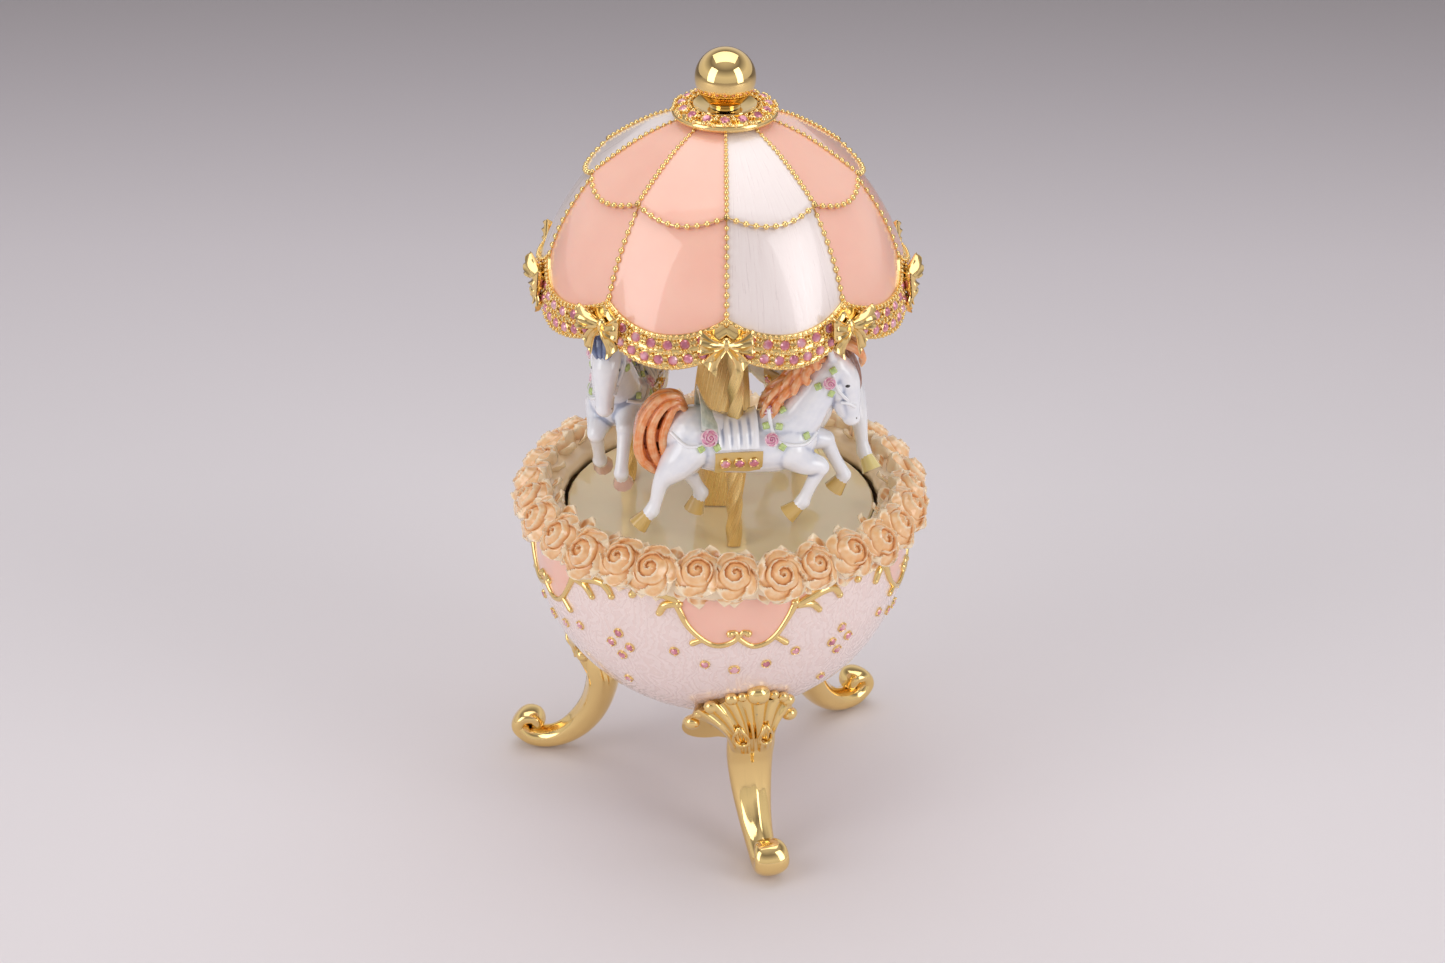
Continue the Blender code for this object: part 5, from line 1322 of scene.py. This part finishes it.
def fused(obj, voxel_mm, ease):
    """Casts overlapping shapes into one skin, with the grooves between them kept."""
    only(obj)
    skin = obj.modifiers.new("skin", "REMESH")
    skin.mode = "VOXEL"
    skin.voxel_size = voxel_mm * MM
    bpy.ops.object.modifier_apply(modifier="skin")
    smooth = obj.modifiers.new("smooth", "SMOOTH")
    smooth.factor = 0.5
    smooth.iterations = ease
    bpy.ops.object.modifier_apply(modifier="smooth")
    return obj


def strands(name, lines, width_mm):
    """Round strands along lines of (x, y, z, share of the width), in millimetres."""
    paths = [[(x * MM, y * MM, z * MM, share) for x, y, z, share in line] for line in lines]
    return tubes(name, paths, width_mm * MM, 10, 5)


def mane_lines():
    """Locks down both sides of the neck, and the forelock."""
    lines = []
    for a, b, c, d, size in MANE_LOCKS:
        for side in (-1, 1):
            lines.append(
                [
                    (a[0], side * 0.4, a[1] - 0.6, 0.75 * size),
                    (b[0], side * 1.5, b[1] - 0.8, 1.1 * size),
                    (c[0] + 1.2, side * 2.6, c[1] - 0.8, 1.05 * size),
                    (d[0] + 2.6, side * 3.0, d[1] + 0.2, 0.6 * size),
                    (d[0] + 3.6, side * 3.1, d[1] + 1.2, 0.2 * size),
                ]
            )
            lines.append(
                [
                    (a[0] - 0.8, side * 0.2, a[1] - 0.8, 0.7 * size),
                    (b[0] - 0.6, side * 0.8, b[1] - 0.4, 1.1 * size),
                    (c[0] - 0.6, side * 1.7, c[1] - 0.4, 0.9 * size),
                    (d[0] - 0.2, side * 2.6, d[1] - 0.2, 0.25 * size),
                ]
            )
    for side in (-1.5, -0.5, 0.5, 1.5):
        lines.append([
            (19.8, side, 46.8, 0.9), (22.6, side * 1.3, 48.8, 1.5), (25.6, side * 1.5, 47.6, 1.5),
            (27.4, side * 1.2, 44.8, 0.9), (27.0, side * 0.8, 42.6, 0.3),
        ])  # fmt: skip
    return lines


def tail_lines():
    """Fifteen strands that fan out between the tail's outer and inner curves."""
    lines = []
    for number in range(15):
        spread = (number % 5 - 2) / 2
        between = (number // 5) / 2
        line = []
        for at, (outer, inner) in enumerate(zip(TAIL_OUTER, TAIL_INNER)):
            share = at / (len(TAIL_OUTER) - 1)
            fan = math.sin(math.pi * min(share * 1.2, 1.0) * 0.72)
            mixed = min(1.0, max(0.0, between + 0.08 * spread))
            x, z = (a + (b - a) * mixed for a, b in zip(outer, inner))
            wave = 0.55 * math.sin(2.6 * share * math.pi + 1.7 * number)
            line.append(
                (x + wave * 0.5 * fan, spread * 2.3 * fan + 0.4 * wave, z + wave * 0.6, 0.55 + 0.7 * fan)
            )
        line[-1] = (*line[-1][:3], 0.15)
        lines.append(line)
    return lines


def saddle_skin(name, low_x, high_x, low_turn, high_turn, thick, pleats, seat):
    """A band of leather over the back, between two angles from the top, on both sides if they straddle it."""
    rows = []
    for step in range(25):
        x = low_x + (high_x - low_x) * step / 24
        top = 31.9 + 4.6 * max(0.0, (-3.2 - x) / 4.0) ** 2 + 1.1 * max(0.0, (x - 1.0) / 2.9) ** 2
        outer = []
        inner = []
        for part in range(33):
            turn = math.radians(low_turn + (high_turn - low_turn) * part / 32)
            side = 7.0 + 0.15 * (pleats > 0)
            reach = side + (top - BARREL_Z - side) * max(0.0, math.cos(turn)) ** 3 if seat else side
            ripple = 0.16 * math.cos(pleats * math.pi * (step / 24)) * min(1.0, abs(math.sin(turn)) * 2)
            for sheet, extra in ((outer, ripple), (inner, -thick)):
                r = reach + extra
                sheet.append((x * MM, -r * math.sin(turn) * 0.97 * MM, (BARREL_Z + r * math.cos(turn)) * MM))
        rows.append(outer + inner[::-1])
    return skinned(name, rows)


def on_side(tree, x, z, side):
    """Where a ray from the side meets the body, and the surface's normal there."""
    hit = tree.ray_cast(Vector((x, side * 30.0, z)) * MM, Vector((0, -side, 0)))
    return (hit[0], hit[1]) if hit[0] is not None else (Vector((x, side * 4.0, z)) * MM, Vector((0, side, 0)))


FLOWERS = ((-6.6, 29.6, 1.0), (7.4, 33.4, 0.85), (7.2, 28.4, 0.8), (19.7, 40.4, 0.75))
LEAVES = (
    (-8.4, 27.6), (-4.8, 27.4), (9.9, 33.8), (6.2, 31.0), (8.9, 31.0), (9.4, 27.0), (14.7, 28.6),
    (20.6, 43.0),
    (17.4, 39.6), (20.1, 37.9),
)  # fmt: skip


def make_horses(looks):
    """One horse with its trappings, modelled once and copied to each pole in its own paint."""
    body = grown("body", BODY_LIMBS, 0.34, 4)
    tree = BVHTree.FromPolygons([v.co for v in body.data.vertices], [p.vertices for p in body.data.polygons])
    mark_hollows(body, 0.14, 8)

    hooves = []
    for start, end in HOOVES:
        way = [a + (b - a) * 0.5 for a, b in zip(start, end)]
        hooves.append([(*start, 0.78), (*way, 1.0), (*end, 1.22)])
    hoof = strands("hoof", hooves, 3.8)
    mane = mark_hollows(fused(strands("mane", mane_lines(), 1.6), 0.20, 3), 0.16, 4)
    tail = mark_hollows(fused(strands("tail", tail_lines(), 1.75), 0.20, 2), 0.20, 4)
    saddle = mark_hollows(saddle_skin("saddle", -4.4, 4.4, -78, 78, 0.7, 9, True), 0.1, 3)
    cantle = mark_hollows(saddle_skin("cantle", -8.2, -4.2, -46, 46, 1.2, 0, True), 0.1, 3)
    flaps = [saddle_skin("flap", -5.2, 5.2, low, low + 44, 0.8, 3, False) for low in (84, -128)]
    flaps = joined("flaps", flaps)
    straps = []
    for side in (-1, 1):
        for line in (
            ((6.6, 35.0), (7.2, 31.0), (8.4, 28.2), (11.4, 27.2), (14.8, 27.0), (17.2, 28.4)),
            ((-5.6, 28.6), (-8.6, 28.2), (-11.6, 28.4), (-14.4, 30.2)),
            ((24.2, 35.4), (22.4, 37.4), (21.0, 40.2), (20.4, 43.4)),
            ((25.8, 33.6), (24.2, 34.6), (22.6, 34.8)),
        ):
            path = []
            for x, z in line:
                point, normal = on_side(tree, x, z, side)
                path.append((*(point + normal * 0.1 * MM), 0.8))
            straps.append(path)
    strap = mark_hollows(tubes("strap", straps, 1.1 * MM, 8, 4), 0.2, 3)

    flowers, leaves, gems, eyes, nostrils = [], [], [], [], []
    for side in (-1, 1):
        for at, (x, z, size) in enumerate(FLOWERS):
            point, normal = on_side(tree, x, z, side)
            flowers.append(facing(point + normal * 0.4 * MM, normal, at, size))
        for at, (x, z) in enumerate(LEAVES):
            point, normal = on_side(tree, x, z, side)
            leaves.append(facing(point + normal * 0.35 * MM, normal, at * 1.3, 1.0))
        for x in (-3.0, 0.1, 3.2):
            turn = math.radians(104.0)
            spot = Vector(
                (x, side * SADDLE_RADIUS * math.sin(turn), BARREL_Z + SADDLE_RADIUS * math.cos(turn))
            ) * MM
            gems.append(facing(spot, (0, side * math.sin(turn), math.cos(turn)), x, 1.0))
        point, normal = on_side(tree, 23.9, 39.0, side)
        eyes.append(Matrix.Translation(point - normal * 0.15 * MM) @ Matrix.Diagonal((1.25, 0.8, 0.85, 1.0)))
        point, normal = on_side(tree, 26.2, 30.6, side)
        nostrils.append(
            Matrix.Translation(point - normal * 0.22 * MM) @ Matrix.Diagonal((0.7, 0.5, 1.0, 1.0))
        )
    flower = copies("flower", rose_pattern(3.9 * MM, 0.6, 14, 32), flowers)
    leaf = bead_pattern(1.0 * MM)
    leaf.data.transform(Matrix.Diagonal((2.1, 1.25, 0.9, 1.0)))
    leaf = mark_hollows(
        copies("leaf", leaf, leaves + [l @ Matrix.Rotation(1.5, 4, "Z") for l in leaves]), 0.3, 2
    )
    gem = copies("gem", crystal_pattern(2.1 * MM), gems)
    cup = copies("cup", setting_pattern(2.15 * MM), gems)
    eye = copies("eye", bead_pattern(1.0 * MM), eyes + nostrils)

    for name, degrees, twist, mane_look, tail_look, hoof_look in HORSES:
        pole = polar(POLE_CIRCLE, degrees, TURNTABLE_TOP / MM)
        place = Matrix.Translation(pole) @ Matrix.Rotation(math.radians(degrees + 90.0 + twist), 4, "Z")
        for pattern, label, finish, slot in (
            (body, "body", "horse", "pearl_enamel"),
            (hoof, "hooves", hoof_look, "pearl_enamel"),
            (mane, "mane", mane_look, "pearl_enamel"),
            (tail, "tail", tail_look, "pearl_enamel"),
            (saddle, "saddle", "horse", "pearl_enamel"),
            (cantle, "cantle", "sage", "pearl_enamel"),
            (flaps, "blanket", "hoof", "leg_gold"),
            (strap, "straps", "horse", "pearl_enamel"),
            (flower, "flowers", "flower", "pearl_enamel"),
            (leaf, "leaves", "leaf", "pearl_enamel"),
            (gem, "crystals", "crystal", "crystal_setting"),
            (cup, "settings", "gold", "crystal_setting"),
            (eye, "eyes", "black", "pearl_enamel"),
        ):
            mesh = pattern.data.copy()
            if label == "tail" and name == "horse_3":
                root = Vector((-11.0, 0.0, 33.0)) * MM
                mesh.transform(Matrix.Translation(root) @ Matrix.Scale(0.68, 4) @ Matrix.Translation(-root))
            mesh.transform(place)
            piece = bpy.data.objects.new(f"{name}_{label}", mesh)
            bpy.context.scene.collection.objects.link(piece)
            angle = 20 if label == "crystals" else 60
            finished(piece, "carousel", looks[finish], [name] if label == "body" else (), angle)
    for pattern in (body, hoof, mane, tail, saddle, cantle, flaps, strap, flower, leaf, gem, cup, eye):
        bpy.data.objects.remove(pattern)


# ---------------------------------------------------------------- movement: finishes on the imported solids
def finish_movement(looks):
    """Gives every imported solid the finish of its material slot."""
    by_slot = {
        "brass": "brass", "movement_steel": "steel", "screw_steel": "steel", "key_gold": "gold",
        "leg_gold": "gold",
        "blush_enamel": "blush", "peach_enamel": "rose", "twisted_gold": "streaked", "pearl_enamel": "horse",
        "canopy_enamel": "pink", "finial_gold": "mirror", "crystal_setting": "gold",
        "champagne_enamel": "cream",
    }  # fmt: skip
    slots = {part["node"]: part["material_slot"] for part in frame["record"]["subparts"]}
    for name, obj in frame["nodes"].items():
        obj.data.materials.clear()
        obj.data.materials.append(looks[by_slot[slots[name]]])


# ---------------------------------------------------------------- stage
def softbox(name, place, target, width, height, power):
    """A rectangular lamp at a place, turned to a target, in metres and watts."""
    lamp = bpy.data.lights.new(name, "AREA")
    lamp.shape = "RECTANGLE"
    lamp.size, lamp.size_y = width, height
    lamp.energy = power
    obj = bpy.data.objects.new(name, lamp)
    obj.location = place
    obj.rotation_euler = (Vector(target) - Vector(place)).to_track_quat("-Z", "Y").to_euler()
    bpy.context.scene.collection.objects.link(obj)


def make_stage():
    """The paper floor, three softboxes, a pale studio round them, and the camera."""
    scene = bpy.context.scene
    bpy.ops.object.select_all(action="DESELECT")
    bpy.ops.mesh.primitive_plane_add(size=12.0, location=(0, 0, 0))
    floor = bpy.context.view_layer.objects.active
    floor.name = "studio_floor"
    floor.data.transform(Matrix.Translation((0, 2.0, CAD_BOX[0].z - FLOOR_DIP)))
    paper, tree, shader = look("Seamless paper, matt, falling into shade at the back")
    place = add(tree, "ShaderNodeTexCoord").outputs["Object"]
    split = add(tree, "ShaderNodeSeparateXYZ", {"Vector": place})
    depth = grey_ramp(tree, split.outputs["Y"], 0.0, 1.0, -0.10, 0.60)
    shades = [(0.0, "E6E0E3"), (0.35, "DED9DD"), (0.57, "CFC9CE"), (0.78, "B4AEB3"), (1.0, "958F92")]
    fibre = speckle(tree, 0.6, 3.0)
    tone = blended(tree, grey_ramp(tree, fibre, 0.0, 0.04), ramp(tree, depth, shades), (0.6, 0.58, 0.6, 1.0))
    fill(tree, shader, {"Base Color": tone, "Roughness": 0.75})
    raised(tree, shader, fibre, 0.02)
    floor.data.materials.append(paper)

    softbox("softbox_left", (-0.62, -0.42, 0.42), (0, 0, 0.08), 0.42, 0.70, 1.9)
    softbox("softbox_right", (0.60, -0.38, 0.40), (0, 0, 0.09), 0.34, 0.70, 1.7)
    softbox("softbox_top", (0.0, 0.18, 0.78), (0, 0, 0.05), 0.8, 0.6, 2.1)

    world = bpy.data.worlds.new("studio")
    scene.world = world
    world.use_nodes = True
    tree = world.node_tree
    background = tree.nodes["Background"]
    way = add(tree, "ShaderNodeTexCoord").outputs["Generated"]
    split = add(tree, "ShaderNodeSeparateXYZ", {"Vector": way})
    walls = [(0.0, "D8D4D6"), (0.45, "F4F0F0"), (0.75, "8E8A8C"), (1.0, "E8E4E4")]
    band = ramp(tree, grey_ramp(tree, split.outputs["Z"], 0.0, 1.0, -0.2, 1.0), walls)
    fill(tree, background, {"Color": band, "Strength": 0.80})

    camera_data = bpy.data.cameras.new("camera")
    camera_data.lens = 92.18
    camera_data.sensor_width = 36.0
    camera = bpy.data.objects.new("camera", camera_data)
    tilt, roll = math.radians(27.38), math.radians(0.64)
    forward = Vector((0, math.cos(tilt), -math.sin(tilt)))
    up = Vector((0, math.sin(tilt), math.cos(tilt)))
    right = Vector((1, 0, 0))
    across = right * math.cos(roll) + up * math.sin(roll)
    upright = -right * math.sin(roll) + up * math.cos(roll)
    turn = Matrix((across, upright, -forward)).transposed().to_4x4()
    camera.matrix_world = Matrix.Translation(Vector((0.35, 0.0, 76.40)) * MM - forward * 0.8329) @ turn
    scene.collection.objects.link(camera)
    scene.camera = camera
    scene.view_settings.view_transform = "Standard"


# ---------------------------------------------------------------- operators and panel
LOOKS = {}


def make_looks():
    """Makes each material once, from the colours in the sidebar."""
    tints = bpy.context.scene.music_box_colours
    LOOKS.clear()
    LOOKS.update(
        gold=polished_gold("Gold plate over cast alloy, polished", tints.gold),
        mirror=polished_gold("Gold plate, turned and mirror polished", tints.gold, 0.04, 0.2, 0.006),
        streaked=streaked_gold("Gold plated twisted bar", tints.gold),
        pink=gloss_enamel("Fired pink enamel", tints.pink, "F9B5A1"),
        cream=gloss_enamel("Fired champagne enamel", tints.cream, "F6E0B4", 1.0, 2.0),
        pearl=pearl_enamel(
            "Pearl enamel, brushed downwards", tints.pearl, "FFFFFF", "ECDFE1", straight_strokes,
            (9.0, 420.0, 1.0)
        ),
        blush=pearl_enamel(
            "Blush pearl enamel, brushed in swirls", tints.blush, "FFFFFF", "F1D6CF", curved_strokes,
            0.6, 0.15,
        ),
        # the deep orange in the roses' hollows is partly enamel pooled there, partly painted shade
        rose=painted_enamel(
            "Apricot pearl enamel over cast roses", "FFE9C6", "F8C58C", "D98A44", 1.6, 0.22, 1.0, 0.08
        ),
        # the blue-grey recess colour of the white horse is painted shade where the body curves in
        horse=painted_enamel(
            "White enamel over cast horse", "F8F9FD", "E9ECF5", "A5ADC4", 2.4, 0.22, 1.0, 0.07
        ),
        flame=painted_enamel("Orange enamel over cast hair", "FAD0A0", "EE8F4C", "B4501F"),
        navy=painted_enamel("Slate blue enamel over cast hair", "8FA0C4", "4A5C8C", "202B4C"),
        umber=painted_enamel("Umber enamel over cast hair", "C7A08E", "8C5A48", "4E2A22"),
        yellow=painted_enamel("Yellow enamel", "F6E59A", "D9BC4C", "8A7428"),
        rosy=painted_enamel("Brown rose enamel", "E3BDB0", "BC8A7C", "7A4A40"),
        hoof=painted_enamel("Bronze gold paint", "D9B56A", "A9803E", "6B4A20", 0.8, 0.25),
        sage=painted_enamel("Sage enamel", "DDE2D8", "A9B5A6", "6F7C6E"),
        flower=painted_enamel("Rose pink enamel", "FBDCE4", "E79AB8", "B45E84"),
        leaf=painted_enamel("Leaf green enamel", "C6DC8E", "7FA850", "41662A"),
        black=gloss_enamel("Black enamel", "1C1A1C", "0C0B0C"),
        crystal=cut_crystal("Pink cut crystal, foil backed", tints.crystal),
        brass=movement_metal("Brass plate, ground", "E0BE6E", "B08C45"),
        steel=movement_metal("Steel, ground", "C9CBCE", "8F9296"),
    )


class MUSICBOX_OT_materials(bpy.types.Operator):
    """Makes every material from the chosen colours."""

    bl_idname = "music_box.materials"
    bl_label = "Materials"

    def execute(self, context):
        make_looks()
        return {"FINISHED"}


class MUSICBOX_OT_stage(bpy.types.Operator):
    """Floor, softboxes and camera."""

    bl_idname = "music_box.stage"
    bl_label = "Studio"

    def execute(self, context):
        make_stage()
        return {"FINISHED"}


class MUSICBOX_OT_movement(bpy.types.Operator):
    """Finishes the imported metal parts."""

    bl_idname = "music_box.movement"
    bl_label = "Movement"

    def execute(self, context):
        finish_movement(LOOKS)
        return {"FINISHED"}


class MUSICBOX_OT_bowl(bpy.types.Operator):
    """Brushed enamel bowl with scrolls and crystals."""

    bl_idname = "music_box.bowl"
    bl_label = "Bowl"

    def execute(self, context):
        make_bowl(LOOKS)
        return {"FINISHED"}


class MUSICBOX_OT_wreath(bpy.types.Operator):
    """The ring of cast roses round the bowl's rim."""

    bl_idname = "music_box.wreath"
    bl_label = "Rose wreath"

    def execute(self, context):
        make_wreath(LOOKS)
        return {"FINISHED"}


class MUSICBOX_OT_legs(bpy.types.Operator):
    """Three cast legs with acanthus brackets."""

    bl_idname = "music_box.legs"
    bl_label = "Legs"

    def execute(self, context):
        make_legs(LOOKS)
        return {"FINISHED"}


class MUSICBOX_OT_platform(bpy.types.Operator):
    """Enamel platform, twisted column and poles."""

    bl_idname = "music_box.platform"
    bl_label = "Platform"

    def execute(self, context):
        make_platform(LOOKS)
        return {"FINISHED"}


class MUSICBOX_OT_canopy(bpy.types.Operator):
    """Nine enamel gores with bead strings."""

    bl_idname = "music_box.canopy"
    bl_label = "Canopy"

    def execute(self, context):
        make_canopy(LOOKS)
        return {"FINISHED"}


class MUSICBOX_OT_rim(bpy.types.Operator):
    """Crystal band round the canopy's edge."""

    bl_idname = "music_box.rim"
    bl_label = "Canopy rim"

    def execute(self, context):
        make_rim(LOOKS)
        return {"FINISHED"}


class MUSICBOX_OT_bows(bpy.types.Operator):
    """Nine bows on the rim."""

    bl_idname = "music_box.bows"
    bl_label = "Bows"

    def execute(self, context):
        make_bows(LOOKS)
        return {"FINISHED"}


class MUSICBOX_OT_crown(bpy.types.Operator):
    """Crystal collar and finial ball."""

    bl_idname = "music_box.crown"
    bl_label = "Crown"

    def execute(self, context):
        make_crown(LOOKS)
        return {"FINISHED"}


class MUSICBOX_OT_horses(bpy.types.Operator):
    """Three enamelled horses with their trappings."""

    bl_idname = "music_box.horses"
    bl_label = "Horses"

    def execute(self, context):
        make_horses(LOOKS)
        return {"FINISHED"}


OPERATORS = (
    MUSICBOX_OT_materials,
    MUSICBOX_OT_stage,
    MUSICBOX_OT_movement,
    MUSICBOX_OT_bowl,
    MUSICBOX_OT_wreath,
    MUSICBOX_OT_legs,
    MUSICBOX_OT_platform,
    MUSICBOX_OT_canopy,
    MUSICBOX_OT_rim,
    MUSICBOX_OT_bows,
    MUSICBOX_OT_crown,
    MUSICBOX_OT_horses,
)


class MUSICBOX_PT_panel(bpy.types.Panel):
    """Sizes, colours and steps of the music box."""

    bl_label = "Music box"
    bl_space_type = "VIEW_3D"
    bl_region_type = "UI"
    bl_category = "Music box"

    def draw(self, context):
        column = self.layout.column()
        for group in (context.scene.music_box_sizes, context.scene.music_box_colours):
            for key in group.bl_rna.properties.keys():
                if key not in ("rna_type", "name"):
                    column.prop(group, key)
        for made in OPERATORS:
            column.operator(made.bl_idname)


CLASSES = (MusicBoxSizes, MusicBoxColours, *OPERATORS, MUSICBOX_PT_panel)


def register():
    """Adds the classes, and the settings to the scene."""
    for each in CLASSES:
        bpy.utils.register_class(each)
    bpy.types.Scene.music_box_sizes = PointerProperty(type=MusicBoxSizes)
    bpy.types.Scene.music_box_colours = PointerProperty(type=MusicBoxColours)


def unregister():
    """Takes the settings and the classes away again."""
    del bpy.types.Scene.music_box_colours
    del bpy.types.Scene.music_box_sizes
    for each in reversed(CLASSES):
        bpy.utils.unregister_class(each)


def main():
    register()
    for made in OPERATORS:
        getattr(bpy.ops.music_box, made.bl_idname.split(".")[1])()


if __name__ == "__main__":
    main()
